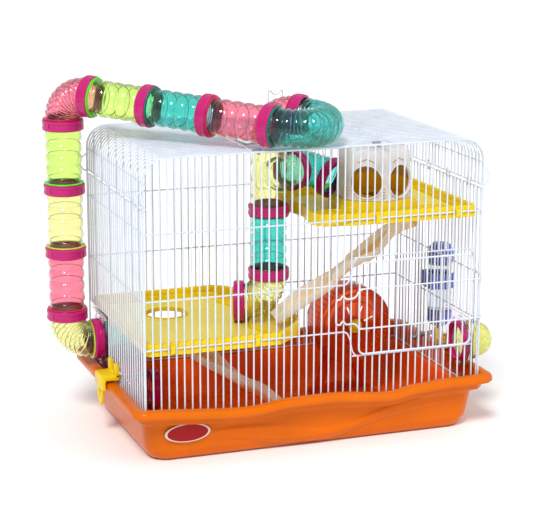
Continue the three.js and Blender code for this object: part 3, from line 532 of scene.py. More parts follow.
def end_panel(name, y, inward, door):
    """Front or back wall; door is its opening as (x0, x1, z0, z1), and the cross wires bend round it."""
    shape = Shape()
    shape.rod(arch_path(y, FOOT_Z), WIRE_R * 1.1)
    for x in wire_positions(HALF_X, PITCH)[1:-1]:
        top = arch_height(x)
        if door and door[0] < x < door[1]:
            shape.rod([(x, y, FOOT_Z), (x, y, door[2])])
            shape.rod([(x, y, door[3]), (x, y, top)])
        else:
            shape.rod([(x, y, FOOT_Z), (x, y, top)])
    cross_y = y + inward * CROSSING
    shape.rod([(-HALF_X, cross_y, FOOT_Z), (HALF_X, cross_y, FOOT_Z)])
    low_z, mid_z, high_z = LEVELS
    if door:
        x0, x1, z0, z1 = door
        for level, edge, sign in ((low_z, z0, 1), (mid_z, z1, -1)):
            turns = [(x0 - 14, level), (x0 - 9, level - 3 * sign), (x0 - 5, level - 12 * sign),
                     (x0 - 2, edge + 7 * sign), (x0 + 3, edge + sign), (x0 + 10, edge), (x1 - 12, edge),
                     (x1 - 5, edge + 2 * sign), (x1, edge + 9 * sign), (x1 + 3, level - 8 * sign),
                     (x1 + 8, level)]
            shape.rod([(x, cross_y, z) for x, z in [(-HALF_X, level), *flat(turns, 4), (HALF_X, level)]])
        shape.rod([(-HALF_X, cross_y, high_z), (HALF_X, cross_y, high_z)])
    else:
        for z in LEVELS:
            shape.rod([(-HALF_X, cross_y, z), (HALF_X, cross_y, z)])
    shape.piece(name, wire, "wire")


def side_panel(name, x, inward, plate, clip_name):
    shape = Shape()
    low, high = span(plate)
    cross_x = x + inward * CROSSING
    for y in wire_positions(SIDE_Y, PITCH):
        inside = low.y - 2 < y < high.y + 2
        shape.rod([(x, y, LEVELS[0] if inside else FOOT_Z), (x, y, SIDE_TOP)])
    for z in (FOOT_Z, *LEVELS, SIDE_TOP):
        shape.rod([(cross_x, -SIDE_Y - 3, z), (cross_x, SIDE_Y + 3, z)])
    clip, pin_x, pin_z = centre(clip_name).y, x - inward * 2.2, 89
    for side in (-1, 1):
        shape.rod([(pin_x, clip + side * 21, pin_z), (pin_x, clip + side * 29, pin_z)])
    shape.piece(name, wire, "wire")


def roof_panel():
    shape = Shape()
    y_low, y_high = span("roof_panel")[0].y + WIRE_R, span("roof_panel")[1].y - WIRE_R
    for y in wire_positions(y_high, PITCH):
        path = arch_path(y, SKIRT_Z)
        if hatch_low.y < y < hatch_high.y:
            shape.rod([p for p in path if p[0] < 0] + [(hatch_low.x - 3, y, ROOF_Z)])
            shape.rod([(hatch_high.x + 3, y, ROOF_Z)] + [p for p in path if p[0] > 0])
        else:
            shape.rod(path)
    under = ROOF_Z - CROSSING
    for x in (-166, hatch_low.x - 3, hatch_high.x + 3, 174):
        shape.rod([(x, y_low, under), (x, y_high, under)])
    for y in (hatch_low.y - 2.6, hatch_high.y + 2.6):
        shape.rod([(hatch_low.x - 3, y, under), (hatch_high.x + 3, y, under)])
    for sx, x in ((-1, LEFT_X), (1, RIGHT_X)):
        for z in (SKIRT_Z, SKIRT_Z + 29):
            shape.rod([(x - sx * CROSSING, y_low - 3, z), (x - sx * CROSSING, y_high + 3, z)])
        for y in (y_low - 2.5, y_high + 2.5):
            bow = [(x + sx * 9 * math.sin(a), y, SKIRT_Z + 10 - 11 * math.cos(a)) for a in
                   [math.radians(8 + 164 * i / 8) for i in range(9)]]
            shape.rod([(x, y, SKIRT_Z - 3), *bow, (x, y, SKIRT_Z + 24)])
        for y in (-92, -30, 30, 92):
            eye = ellipse(y, (SKIRT_Z + SIDE_TOP) / 2, 4.5, 6.5, 12)
            shape.rod([(x, a, b) for a, b in eye], 0.9, closed=True, sides=6)
    shape.piece("roof_panel", wire, "wire")


def roof_hatch(tube_at):
    shape = Shape()
    inner = 3
    half = 42
    z = ROOF_Z
    border = rounded(hatch_low.x + 1, hatch_low.y + 1, hatch_high.x - 1, hatch_high.y - 1, 6)
    shape.rod(at_height(border, z), WIRE_R * 1.15, closed=True)
    rows = wire_positions((hatch_high.y - hatch_low.y - 2) / 2, PITCH)
    for row in rows[1:-1]:
        y = centre("roof_hatch").y + row
        beside = tube_at.y - half < y < tube_at.y + half
        shape.rod([(tube_at.x + half - 2 if beside else hatch_low.x + 1, y, z), (hatch_high.x - 1, y, z)])
    for x in (-20, 40, 88):
        stop = hatch_low.y + 1 if abs(x - tube_at.x) > half else tube_at.y + half
        shape.rod([(x, stop, z - 2), (x, hatch_high.y - 1, z - 2)])
    shape.piece("roof_hatch", wire, "wire")
    plate = Shape()
    outline = rounded(hatch_low.x + inner, tube_at.y - half, tube_at.x + half, tube_at.y + half, 5)
    hole = ellipse(tube_at.x, tube_at.y, 25, 25)
    plate.add_mesh(slab([outline, hole], 2.4, 0.5, placed((0, 0, z), X, Y)))
    plate.turned([(25, -4), (27.4, -4), (27.4, 3), (25, 3)], (tube_at.x, tube_at.y, z), Z)
    plate.piece("roof_hatch_plate", plate_clear, "clear_plastic", extra=True)
    wraps = Shape()
    for x in (hatch_low.x + 2, hatch_high.x - 18):
        wraps.rod([(x - 5, hatch_low.y, z), (x + 5, hatch_low.y, z)], 3.2, sides=12)
        wraps.rod([(x, hatch_low.y - 7, z - 1.5), (x, hatch_low.y, z - 1.5)], 2, sides=8)
    wraps.piece("roof_hatch_wraps", grey, "wire", extra=True)


def roof_loop():
    low, high = span("roof_loop")
    y = centre("roof_loop").y
    x0, x1, z0, z1 = low.x + 1.2, high.x - 1.2, low.z + 1, high.z - 1.3
    middle = (x0 + x1) / 2
    path = [(x0, y, z0), (x0 + 1, y, z1 - 6), (x0 + 3.5, y, z1 - 1), (middle - 3, y, z1 - 5),
            (middle, y, z1 - 6), (middle + 3, y, z1 - 5), (x1 - 3.5, y, z1 - 1), (x1 - 1, y, z1 - 6),
            (x1, y, z0)]
    shape = Shape().rod(smooth_path(path, 5), WIRE_R)
    for x in (x0, x1):
        shape.rod([(x, a, b) for a, b in ellipse(y, low.z, 2.4, 2.4, 10)], 0.8, closed=True, sides=6)
    shape.piece("roof_loop", wire, "wire", "roof_handle")


def front_door():
    low, high = span("front_door")
    y = low.y + WIRE_R
    x0, x1, z0, z1 = 55, 210, low.z + WIRE_R, high.z - WIRE_R
    columns, bars = 15, (150.2, 202)
    shape = Shape()
    shape.rod([(x, y, z) for x, z in rounded(x0, z0, x1, z1, 8)], WIRE_R * 1.2, closed=True)
    for i in range(1, columns):
        x = x0 + (x1 - x0) * i / columns
        shape.rod([(x, y, z0), (x, y, z1)])
    for z in bars:
        eye = at_height(arc(HALF_X, FRONT_Y, 3, -90, 210, 12), z)
        shape.rod([(x0, y - 0.4, z), (x1, y - 0.4, z), *eye])
    left = low.x + WIRE_R
    top = [(x0 + 6, 202), (x0, 200), (x0 - 4, 194), (x0 - 9, 191), (x0 - 18, 191), (x0 - 22, 195.5),
           (x0 - 26, 191)]
    bottom = [(x0 - 26, 158), (x0 - 22, 162.5), (x0 - 18, 158), (x0 - 9, 158), (x0 - 4, 156), (x0, 151),
              (x0 + 6, 150.2)]
    outline = [*flat(top, 3), *arc(left + 4, 187, 4, 90, 180, 3), *arc(left + 4, 162, 4, 180, 270, 3),
               *flat(bottom, 3)]
    shape.rod([(x, y, z) for x, z in outline], WIRE_R * 1.1)
    shape.piece("front_door", wire, "wire", "door")


def tube_plate(name, x, ring):
    low, high = span(name)
    at = centre(ring)
    outline = rounded(low.y, low.z, high.y, high.z, 3)
    hole = ellipse(at.y, at.z, 26.8, 26.8)
    shape = Shape().add_mesh(slab([outline, hole], 2.2, 0.4, placed((x, 0, 0), Y, Z)))
    for inner, outer, half in ((27.2, 29.4, 1.9), (32.5, 33.7, 1.6)):
        shape.turned([(inner, -half), (outer, -half), (outer, half), (inner, half)], (x, at.y, at.z), X)
    for z in (low.z + 4, high.z - 4):
        shape.rod([(x - 1.2, low.y + 4, z), (x - 1.2, high.y - 4, z)], 0.8, sides=6)
    shape.piece(name, plate_clear, "clear_plastic")


# ---- tray ----
RELIEF_HEIGHT = 3.0
FRONT_STEPS, SIDE_STEPS, CORNER_STEPS = 110, 14, 8
FOOT_X, FOOT_Y = 185, 98


def rim_wave(x):
    """Height change of the front rim: two shallow dips that fall slowly and rise fast."""
    knots = ((-243, 0), (-93, -9), (-38, -3.4), (10, -2.8), (97, -9.3), (135, -3.5), (175, -0.8), (243, 0))
    for (x0, z0), (x1, z1) in zip(knots, knots[1:]):
        if x <= x1:
            t = min(max((x - x0) / (x1 - x0), 0), 1)
            return z0 + (z1 - z0) * (0.5 - 0.5 * math.cos(math.pi * t))
    return 0


def soft_step(v):
    """0 below zero and 1 above it, with a rounded rise about 3 mm wide."""
    return 1 / (1 + math.exp(-v / 0.7))


def relief(x, z):
    """How far the front wall stands out: a lens between two sagging lines, fading to the sides."""
    upper = 44 - 24 * math.exp(-((x - 20) / 70) ** 2) + 0.05 * x
    lower = 34 - 28 * math.exp(-((x + 5) / 95) ** 2) + 0.03 * x
    fade = 1 / (1 + math.exp((abs(x - 10) - 150) / 12))
    return fade * RELIEF_HEIGHT * (soft_step(upper - z) - soft_step(lower - z))


def tray_loop(offset, radius, z, wave, bulge):
    """Loop round the tray; wave and bulge are its shares of rim_wave and relief."""
    hx, hy = HALF_X + offset - radius, BACK_Y + offset - radius
    plan = []
    corners = ((-hx, -hy, 180), (hx, -hy, 270), (hx, hy, 0), (-hx, hy, 90))
    steps = (FRONT_STEPS, SIDE_STEPS, FRONT_STEPS // 4, SIDE_STEPS)
    for i, (cx, cy, start) in enumerate(corners):
        turn = arc(cx, cy, radius, start, start + 90, CORNER_STEPS)
        nx, ny, nstart = corners[(i + 1) % 4]
        onward = arc(nx, ny, radius, nstart, nstart, 1)[0]
        plan += turn
        plan += [tuple(turn[-1][k] + (onward[k] - turn[-1][k]) * s / steps[i] for k in range(2))
                 for s in range(1, steps[i])]
    loop = []
    for x, y in plan:
        front = min(max((-y - 118) / 12, 0), 1)
        high = z + wave * front * rim_wave(x)
        out = bulge * relief(x, high) if y < -hy - radius * 0.98 else 0
        loop.append((x, y - out, high))
    return loop


def tray():
    rows = [(-70, 30, 0, 0, 0), (-66, 30, 1, 0, 0), (-17, 22, 1, 0, 0), (-13, 23, 1.8, 0, 0),
            (-10, 24, 5, 0, 0)]
    rows += [(-10 + 4 * i / 6, 24, 5 + 9 * i / 6, 0, 1) for i in range(1, 7)]
    rows += [(-6 + 5.4 * i / 20, 24 - i / 10, 14 + 35 * i / 20, 0.5 * (i / 20) ** 3, 1) for i in range(1, 20)]
    rows += [(-0.6, 22, 49, 0.5, 1), (1, 22, 51, 0.6, 0.5), (6.8, 18, 54.4, 0.9, 0), (8, 18, 55.2, 1, 0),
             (8.6, 18, 56.4, 1, 0), (9.4, 18, 62, 1, 0), (10.2, 18, 63, 1, 0), (16.6, 18, 64, 1, 0),
             (18.2, 18, 64.8, 1, 0), (19, 18, 66.6, 1, 0), (19, 18, 69.4, 1, 0), (18.3, 18, 72, 1, 0),
             (16.8, 17, 74, 1, 0), (14.6, 17, 74.8, 1, 0), (8, 11, 75, 1, 0)]
    outside_rows = len(rows)
    rows += [(5, 5, 74.6, 1, 0), (3.9, 4.4, 73.4, 1, 0), (3.4, 4, 71, 1, 0), (3, 4, 56, 0.2, 0),
             (2, 4.5, 52.5, 0, 0), (-7, 11, 51, 0, 0), (-8.4, 12, 49.6, 0, 0), (-11, 16, 20, 0, 0),
             (-13, 16.5, 10, 0, 0), (-16, 16, 5.6, 0, 0), (-21, 14, 3.4, 0, 0), (-30, 14, 3.2, 0, 0)]
    shape = Shape().loops([tray_loop(*row) for row in rows])
    per_row = len(shape.points) // len(rows)
    # Faces from the inner rows onwards take the painted bounce-light colour.
    first_painted_bounce_face = (outside_rows + 2) * per_row
    shape.slots[first_painted_bounce_face:] = [1] * (len(shape.faces) - first_painted_bounce_face)
    shape.piece("tray", [orange, orange_painted_bounce], "tray", sharp=50)
    feet = Shape()
    for sx in (-1, 1):
        for sy in (-1, 1):
            foot = [(0.01, 0), (6.4, 0), (7, 0.8), (7, 3), (0.01, 3)]
            feet.turned(foot, (sx * FOOT_X, sy * FOOT_Y, 0), Z, 24, False)
    feet.piece("tray_feet", dark, "tray", extra=True)


def plain_label():
    """A plain oval label on the front wall, with no mark on it."""
    at = Vector((-172, -BACK_Y - 0.6, 38))
    lean = Vector((0, -0.14, 1)).normalized()
    across = Vector(X)
    layers = (("tray_label_edge", sticker_edge, 1, 0), ("tray_label", sticker, 0.9, 0.25))
    for name, material, grow, lift in layers:
        oval = ellipse(0, 0, 29.5 * grow, 12.6 * grow, 60)
        spot = at + across.cross(lean) * lift
        shape = Shape().add_mesh(slab([oval], 0.8, 0.25, placed(spot, across, lean)))
        shape.piece(name, material, "tray", extra=True)


def tray_clip(name, side):
    """Yellow clip: two prongs, a broad bridge over the rim and a pull ring outside it."""
    low, high = span(name)
    middle = centre(name).y
    half = (high.y - low.y) / 2
    outer = max(abs(low.x), abs(high.x)) - 0.4
    hook = outer - 19.7
    slot, ring_half = 8, 11
    bridge = [(hook - 2.3, 79), *arc(hook - 0.3, 79.6, 1.6, 200, 268, 3), (outer - 4.8, 78.6),
              (outer - 3.8, 76), (outer - 3.8, 66), (outer - 0.2, 65.4), (outer + 0.2, 76),
              *arc(outer - 3.2, 79.8, 3.2, 10, 80, 4), (hook + 2.3, 83.6), (hook + 1, 85.4),
              (hook - 2.3, 85.4)]
    prong = [*arc(hook, high.z - 2.4, 2.3, 0, 180, 8), (hook - 2.3, 82), (hook + 2.3, 82)]
    shape = Shape().add_mesh(slab([bridge], 2 * half, 0.7, placed((0, middle, 0), (side, 0, 0), Z)))
    for y in (-(half + slot) / 2, (half + slot) / 2):
        shape.add_mesh(slab([prong], half - slot, 0.5, placed((0, middle + y, 0), (side, 0, 0), Z)))
    ring = [(-ring_half, 70), (-ring_half, 54), *arc(0, low.z + 9, 9, 205, 335, 8), (ring_half, 54),
            (ring_half, 70)]
    hole = [(-6, 62), (-5, 63.4), (5, 63.4), (6, 62), (1, 48.4), (-1, 48.4)]
    shape.add_mesh(slab([ring, hole], 3.4, 0.7, placed((side * (outer - 2), middle, 0), (0, side, 0), Z)))
    body = "left_clip" if side < 0 else "right_clip"
    shape.piece(name, yellow, "yellow_plastic", body, sharp=30)


# ---- platforms, slides and house ----
LOWER_DECK_TOP, UPPER_DECK_TOP = 154, 298
HOUSE_TURN, HOUSE_CORNER, HOUSE_CORNER_STEPS = -95, 0.18, 4
DOORWAY_R, DOORWAY_Z, DOORWAY_TURNS = 20.3, 24.5, (-125, -65)
SLIDE_WIDTH, SLIDE_HEIGHT, SLIDE_WALL = 30, 15, 1.6


def deck(name, outline, z0, z1, well, holes, extras):
    """Deck with a rounded rim round a sunken floor; outline and well are anticlockwise loops."""
    shape = Shape()
    drop = z1 - z0
    rim = [(0, z0), (0, z1 - 2), (0.6, z1 - 0.6), (2, z1), (4.4, z1), (5.8, z1 - 0.6), (6.4, z1 - 2),
           (6.6, z0 + 3), (6.6, z0)]
    shape.loops([at_height(inset(outline, d), z) for d, z in rim], closed=True)
    floor = inset(outline, 5.8)
    shape.add_mesh(slab([floor, *holes], 3, 0.3, placed((0, 0, z0 + 1.6), X, Y)))
    lip_profile = [(-3.5, z0 + 2), (-3.5, z1 - drop * 0.5), (-2, z1 - drop * 0.42), (0, z1 - drop * 0.46),
                   (0.8, z0 + 2)]
    shape.loops([at_height(inset(well, d), z) for d, z in lip_profile], closed=True)
    hole_profile = [(-1.6, z0 + 2), (-1.6, z0 + 5), (-0.8, z0 + 5.8), (0.2, z0 + 5), (0.2, z0 + 0.2)]
    for hole in holes:
        shape.loops([at_height(inset(hole, d), z) for d, z in hole_profile], closed=True)
    for extra in extras:
        shape.add_mesh(extra)
    shape.piece(name, yellow, "yellow_plastic", sharp=32)
    board = Shape().add_mesh(slab([inset(well, 1.2), *[inset(h, -2) for h in holes]], 1, 0.2,
                                  placed((0, 0, z0 + 3.6), X, Y)))
    board.piece(name + "_insert", insert_yellow, "yellow_plastic", extra=True)


def hook_at(x, y, z, out):
    """Hook over a wire: lid, lip and gusset, facing along out."""
    along = Vector(out)
    profile = [(-7, 1.4), (1.6, 1.4), (1.6, -5), (2.4, -5.6), (3.3, -5), (3.3, 3), (2.5, 4), (-7, 4)]
    return slab([profile], 5.6, 0.5, placed((x, y, z), along, Z))


def flat(points, steps=6):
    """Smooth curve through (x, y) points, as (x, y)."""
    return [(p.x, p.y) for p in smooth_path([(x, y, 0) for x, y in points], steps)]


def lower_platform():
    z0, z1 = span("lower_platform")[0].z, LOWER_DECK_TOP
    edge = [(-48, -130), (-20, -104), (-4, -82), (3, -50), (3, -8), (-10, 12), (-24, 40), (-30, 84),
            (-34, 116), (-52, 130)]
    outline = [*arc(-213, -122, 8, 180, 270, 5), (-140, -130), (-90, -130), *flat(edge), (-100, 130),
               (-160, 130), *arc(-213, 122, 8, 90, 180, 5), (-221, 60), (-221, 0), (-221, -60)]
    wave = [(-58 + 5 * math.sin(i * 0.9), -110 + i * 10) for i in range(23)]
    well = [*arc(-202, -108, 10, 180, 270, 4), (-120, -118), *flat([(-74, -117), *wave, (-74, 118)], 3),
            (-120, 118), *arc(-202, 108, 10, 90, 180, 4)]
    hole = ellipse(-144, 46, 27, 27)
    extras = [hook_at(x, side * BACK_Y, LEVELS[0], (0, side, 0)) for x in (-190, -80) for side in (-1, 1)]
    deck("lower_platform", outline, z0, z1, well, [hole], extras)


def upper_platform():
    z0, z1 = span("upper_platform")[0].z, UPPER_DECK_TOP
    edge = [(44, 60), (26, 50), (6, 36), (0, 0), (2, -25), (8, -55), (4, -80), (0, -102), (12, -122),
            (46, -130)]
    outline = [(60, -130), (130, -130), *arc(214, -124, 6, -90, 0, 4), (220, -60), (220, 0),
               *arc(212, 58, 8, 0, 90, 4), (130, 64), (80, 62), *flat(edge)]
    wave = [(20 + 3 * math.sin(i * 0.9), 40 - i * 10) for i in range(15)]
    well = [*arc(200, -108, 11, -90, 0, 4), (211, -30), *arc(200, 40, 11, 0, 90, 4), (110, 51),
            *flat([(36, 51), *wave, (36, -118)], 3), (110, -119)]
    hole = rounded(152, -110, 198, -64, 12)
    extras = [hook_at(x, -BACK_Y, LEVELS[2], (0, -1, 0)) for x in (80, 190)]
    extras += [hook_at(RIGHT_X, y, LEVELS[2], X) for y in (-63.7, 24.5)]
    lobe = Shape()
    lobe.loops([at_height(inset(ellipse(36, -98, 25, 21, 30), d), z) for d, z in
                [(0, z0 + 2), (0, z1 - 4), (1, z1 - 3), (2.4, z1 - 4), (2.6, z0 + 2)]], closed=True)
    extras.append(lobe.mesh("lobe"))
    deck("upper_platform", outline, z0, z1, well, [hole], extras)


def hexagon(at, radius):
    """Hexagon with rounded corners, as (x, y)."""
    corners = [Vector(p) for p in arc(at.x, at.y, radius, HOUSE_TURN, HOUSE_TURN + 300, 5)]
    loop = []
    for i, corner in enumerate(corners):
        before, after = corners[i - 1], corners[(i + 1) % 6]
        start, end = corner.lerp(before, HOUSE_CORNER), corner.lerp(after, HOUSE_CORNER)
        for s in range(HOUSE_CORNER_STEPS + 1):
            t = s / HOUSE_CORNER_STEPS
            point = start.lerp(corner, t).lerp(corner.lerp(end, t), t)
            loop.append((point.x, point.y))
    return loop


def house():
    low, high = span("house")
    at = centre("house").xy
    radius = (high.y - low.y) / 2 * 1.035
    height = high.z - low.z
    z = low.z
    wall = 1.6

    def rings(profile):
        return [at_height(hexagon(at, r), z + h) for r, h in profile]

    outside = [(radius, 0.4), (radius + 0.2, 2.4), (radius - 0.8, 3), (radius * 0.94, height - 14),
               (radius * 0.925, height - 6), (radius * 0.88, height - 2), (radius * 0.8, height),
               (radius * 0.3, height)]
    inside = [(radius * 0.3, height - wall), (radius * 0.8, height - wall), (radius * 0.87, height - 3.4),
              (radius * 0.925 - wall, height - 7), (radius * 0.94 - wall, height - 14.5),
              (radius - wall, 0.4)]
    shape = Shape().loops(rings(outside + inside), closed=True)
    shape.loops(rings([(radius * 0.31, height - wall), (radius * 0.31, height)]))
    obj = shape.piece("house", house_clear, "house_plastic", sharp=30)
    cutters, mouths = [], []
    rims, slits = Shape(), Shape()
    for turn in DOORWAY_TURNS:
        angle = math.radians(turn)
        axis = Vector((math.cos(angle), math.sin(angle), 0.055)).normalized()
        face = radius * 0.866 * 0.965
        mouth = Vector((at.x + axis.x * face, at.y + axis.y * face, z + DOORWAY_Z))
        mouths.append((mouth, axis))
        cutters.append(Shape().turned([(DOORWAY_R, -14), (DOORWAY_R, 14)], mouth, axis, 40, False))
        rims.turned([(DOORWAY_R, -1.6), (DOORWAY_R, 1.8), (DOORWAY_R + 0.8, 2.4), (DOORWAY_R + 1.7, 1.6),
                     (DOORWAY_R + 1.7, -0.6), (DOORWAY_R + 1, -1.6)], mouth, axis)
        across = Vector((-math.sin(angle), math.cos(angle), 0))
        for side in (-1, 1):
            peak = mouth + Vector((0, 0, 29)) - axis * 1.4
            end = mouth + across * side * 11 + Vector((0, 0, 24.5)) - axis * 0.9
            slits.rod([peak, end], 0.7, sides=6)
        for row in range(4):
            start = mouth - across * 29 + Vector((0, 0, -20 + row * 4)) - axis * 2.2
            slits.rod([start, start + across * 5], 0.6, sides=6)
    combine(obj, cutters)
    # A tan sheet inside the upper walls, which are really the same frosted white: painted shade with a
    # painted yellow reflection, seen through the doorways and walls.
    shade_wall_profile = [(radius - 2.6, 21), (radius - 4.6, 42), (radius - 5.2, 42), (radius - 3.2, 21)]
    tub_profile = [(radius - 2.4, 0.4), (radius - 2.8, 21), (radius - 4, 21), (radius - 3.6, 1.6),
                   (radius * 0.3, 1.4), (radius * 0.3, 0.4)]
    painted_shade_wall = Shape().loops(rings(shade_wall_profile), closed=True)
    tub = Shape().loops(rings(tub_profile), closed=True)
    door_cut = [Shape().turned([(22.5, -14), (22.5, 14)], mouth, axis, 40, False) for mouth, axis in mouths]
    combine(painted_shade_wall.piece("house_painted_shade_wall", painted_shade_tan, "house_plastic", extra=True), door_cut)
    combine(tub.piece("house_tub", tub_yellow, "yellow_plastic", extra=True), door_cut)
    rims.piece("house_rims", house_rim, "house_plastic", extra=True)
    slits.piece("house_slits", slit, "yellow_plastic", extra=True)
    ridges = 5
    steps = [(radius - 3, -17), (radius + 2 + ridges * 1.6, -17)]
    for i in range(ridges):
        out = radius + 2 + (ridges - i) * 1.6
        steps += [(out, -9 + i * 1.8), (out - 0.5, -7.6 + i * 1.8), (out - 1.6, -7.4 + i * 1.8)]
    steps += [(radius + 1, -0.2), (radius - 3, -0.2)]
    plinth = Shape().loops(rings(steps), closed=True)
    plinth.piece("house_plinth", yellow, "yellow_plastic", extra=True, sharp=30)


def slide(name, path):
    """Channel along a path: dished floor, rising walls and rolled edges."""
    w, height, wall = SLIDE_WIDTH / 2, SLIDE_HEIGHT, SLIDE_WALL
    inner = w - wall
    angles = [math.radians(a) for a in range(-75, 76, 25)]
    dish = [(0.96 * math.sin(a), 0.34 * height * (1 - math.cos(a))) for a in angles]
    section = [(-w - 1, height - 0.4), (-w - 1, height - 1.6), (-w, height - 1.6), (-w, 0.36 * height)]
    section += [(w * across, up) for across, up in dish]
    section += [(w, 0.36 * height), (w, height - 1.6), (w + 1, height - 1.6), (w + 1, height - 0.4),
                (w, height), (inner, height - 0.4), (inner, 0.42 * height)]
    section += [(inner * across, wall + up) for across, up in reversed(dish)]
    section += [(-inner, 0.42 * height), (-inner, height - 0.4), (-w, height)]
    loops = []
    for point, _, _, ahead in frames(smooth_path(path)):
        across = Vector((ahead.y, -ahead.x, 0)).normalized()
        up = across.cross(ahead).normalized()
        loops.append([point + across * s + up * t for s, t in section])
    shape = Shape().loops(loops)
    floor_faces = {*range(3, 11), *range(17, 25)}
    for face in range(len(section) * (len(loops) - 1)):
        shape.slots[face] = 0 if face % len(section) in floor_faces else 1
    shape.piece(name, [beige, slide_wall], "slide_plastic", sharp=60)


# ---- tubes ----
ring_low, ring_high = span("ring_column_1")
RING_HALF = (ring_high.z - ring_low.z) / 2
RING_OUTER = (ring_high.x - ring_low.x) / 2
TUBE_OUTER = (span("drop_tube")[1].x - span("drop_tube")[0].x) / 2
TUBE_WALL = 1.5
TUBE_SIDES = 40
BEND_RIBS, BEND_COLLAR = 9, 9
STRAIGHT_BULGES, STRAIGHT_COLLAR = 4, 15
TURN_RIBS = 15
BEND_STEPS, STRAIGHT_STEPS, TURN_STEPS = 88, 75, 130
END_GAP = 0.2
TEE_SIDES, TEE_WAVE = 48, 19
BULGE_DEPTH = 3
PLAIN_R = TUBE_OUTER - BULGE_DEPTH * 0.45


def corner_route(start, start_axis, end, end_axis):
    """Centre line of a bend between two rings: stub, arc, stub."""
    u, w = start_axis.normalized(), end_axis.normalized()
    angle = u.angle(w)
    reach = (end - start).length / (u + w).length
    radius = (reach - RING_HALF) / math.tan(angle / 2)
    normal = (w - u * u.dot(w)).normalized()
    route = [start + u * END_GAP, start + u * RING_HALF * 0.6]
    for i in range(BEND_STEPS + 1):
        a = angle * i / BEND_STEPS
        route.append(start + u * (RING_HALF + radius * math.sin(a)) + normal * radius * (1 - math.cos(a)))
    return route + [end - w * RING_HALF * 0.6, end - w * END_GAP]


def straight_route(start, end):
    ahead = (end - start).normalized()
    length = (end - start).length - 2 * END_GAP
    return [start + ahead * (END_GAP + length * i / STRAIGHT_STEPS) for i in range(STRAIGHT_STEPS + 1)]


def bulged(travelled, bulges, collar):
    """Radius at each distance along a tube: plain collars at the ends and rounded bulges between."""
    radii = []
    for s in travelled:
        inside = (s - collar) / (travelled[-1] - collar - RING_HALF)
        wave = abs(math.sin(math.pi * bulges * inside))
        radii.append(TUBE_OUTER - BULGE_DEPTH + BULGE_DEPTH * wave ** 0.6 if 0 < inside < 1 else PLAIN_R)
    return radii


def tube(name, color, route, bulges, collar):
    """Ribbed tube; its first end has a smooth collar and a coloured flange against the ring."""
    travelled = [0]
    for a, b in zip(route, route[1:]):
        travelled.append(travelled[-1] + (b - a).length)
    rows = list(zip(frames(route), bulged(travelled, bulges, collar)))
    outer = [circle(p, s, u, r, TUBE_SIDES) for (p, s, u, _), r in rows]
    inner = [circle(p, s, u, r - TUBE_WALL, TUBE_SIDES) for (p, s, u, _), r in rows]
    shape = Shape().loops(outer + inner[::-1], closed=True)
    for row in (len(outer) - 1, 2 * len(outer) - 1):
        shape.slots[row * TUBE_SIDES:(row + 1) * TUBE_SIDES] = [1] * TUBE_SIDES
    ahead = (route[1] - route[0]).normalized()
    count = len(shape.faces)
    edge = RING_OUTER - 1.6
    flange = [(PLAIN_R - 0.6, 0), (edge, 0), (edge + 0.4, 0.6), (edge, 1.3), (PLAIN_R - 0.6, 1.4)]
    shape.turned(flange, route[0] + ahead * (RING_HALF + 0.1), ahead, TUBE_SIDES)
    shape.slots[count:] = [1] * (len(shape.faces) - count)
    shape.piece(name, [tint[color], lip[color]], "clear_" + color, sharp=60)


def elbow(name, color, *ends):
    tube(name, color, corner_route(*ends), BEND_RIBS, BEND_COLLAR)


def straight(name, color, start, end):
    tube(name, color, straight_route(start, end), STRAIGHT_BULGES, STRAIGHT_COLLAR)


def ring(name, at, axis):
    """Connector ring with rounded shoulders, a centre rib and three grip pads."""
    h, outer, inner = RING_HALF, RING_OUTER, TUBE_OUTER + 0.15
    profile = [(inner, -h), (inner + 1.6, -h), (outer - 0.9, -h + 0.5), (outer - 0.2, -h + 1.4),
               (outer - 0.2, -2.6), (outer - 0.8, -2.2), (outer - 0.8, 2.2), (outer - 0.2, 2.6),
               (outer - 0.2, h - 1.4), (outer - 0.9, h - 0.5), (inner + 1.6, h), (inner, h), (inner, 1),
               (inner - 1.6, 0.8), (inner - 1.6, -0.8), (inner, -1)]
    shape = Shape().turned(profile, at, axis, 56)
    ahead = Vector(axis).normalized()
    side = ahead.orthogonal().normalized()
    up = ahead.cross(side)
    for i in range(3):
        angle = math.radians(40 + 120 * i)
        out = side * math.cos(angle) + up * math.sin(angle)
        across = ahead.cross(out)
        pad = [Vector(at) + out * (outer - 0.25) + across * a + ahead * b
               for a, b in rounded(-4, -4.6, 4, 4.6, 1.6, 3)]
        shape.loops([[p - out * 1.5 for p in pad], pad])
    shape.piece(name, magenta, "ring_plastic", sharp=35)


def level(direction):
    return Vector((direction.x, direction.y, 0)).normalized()


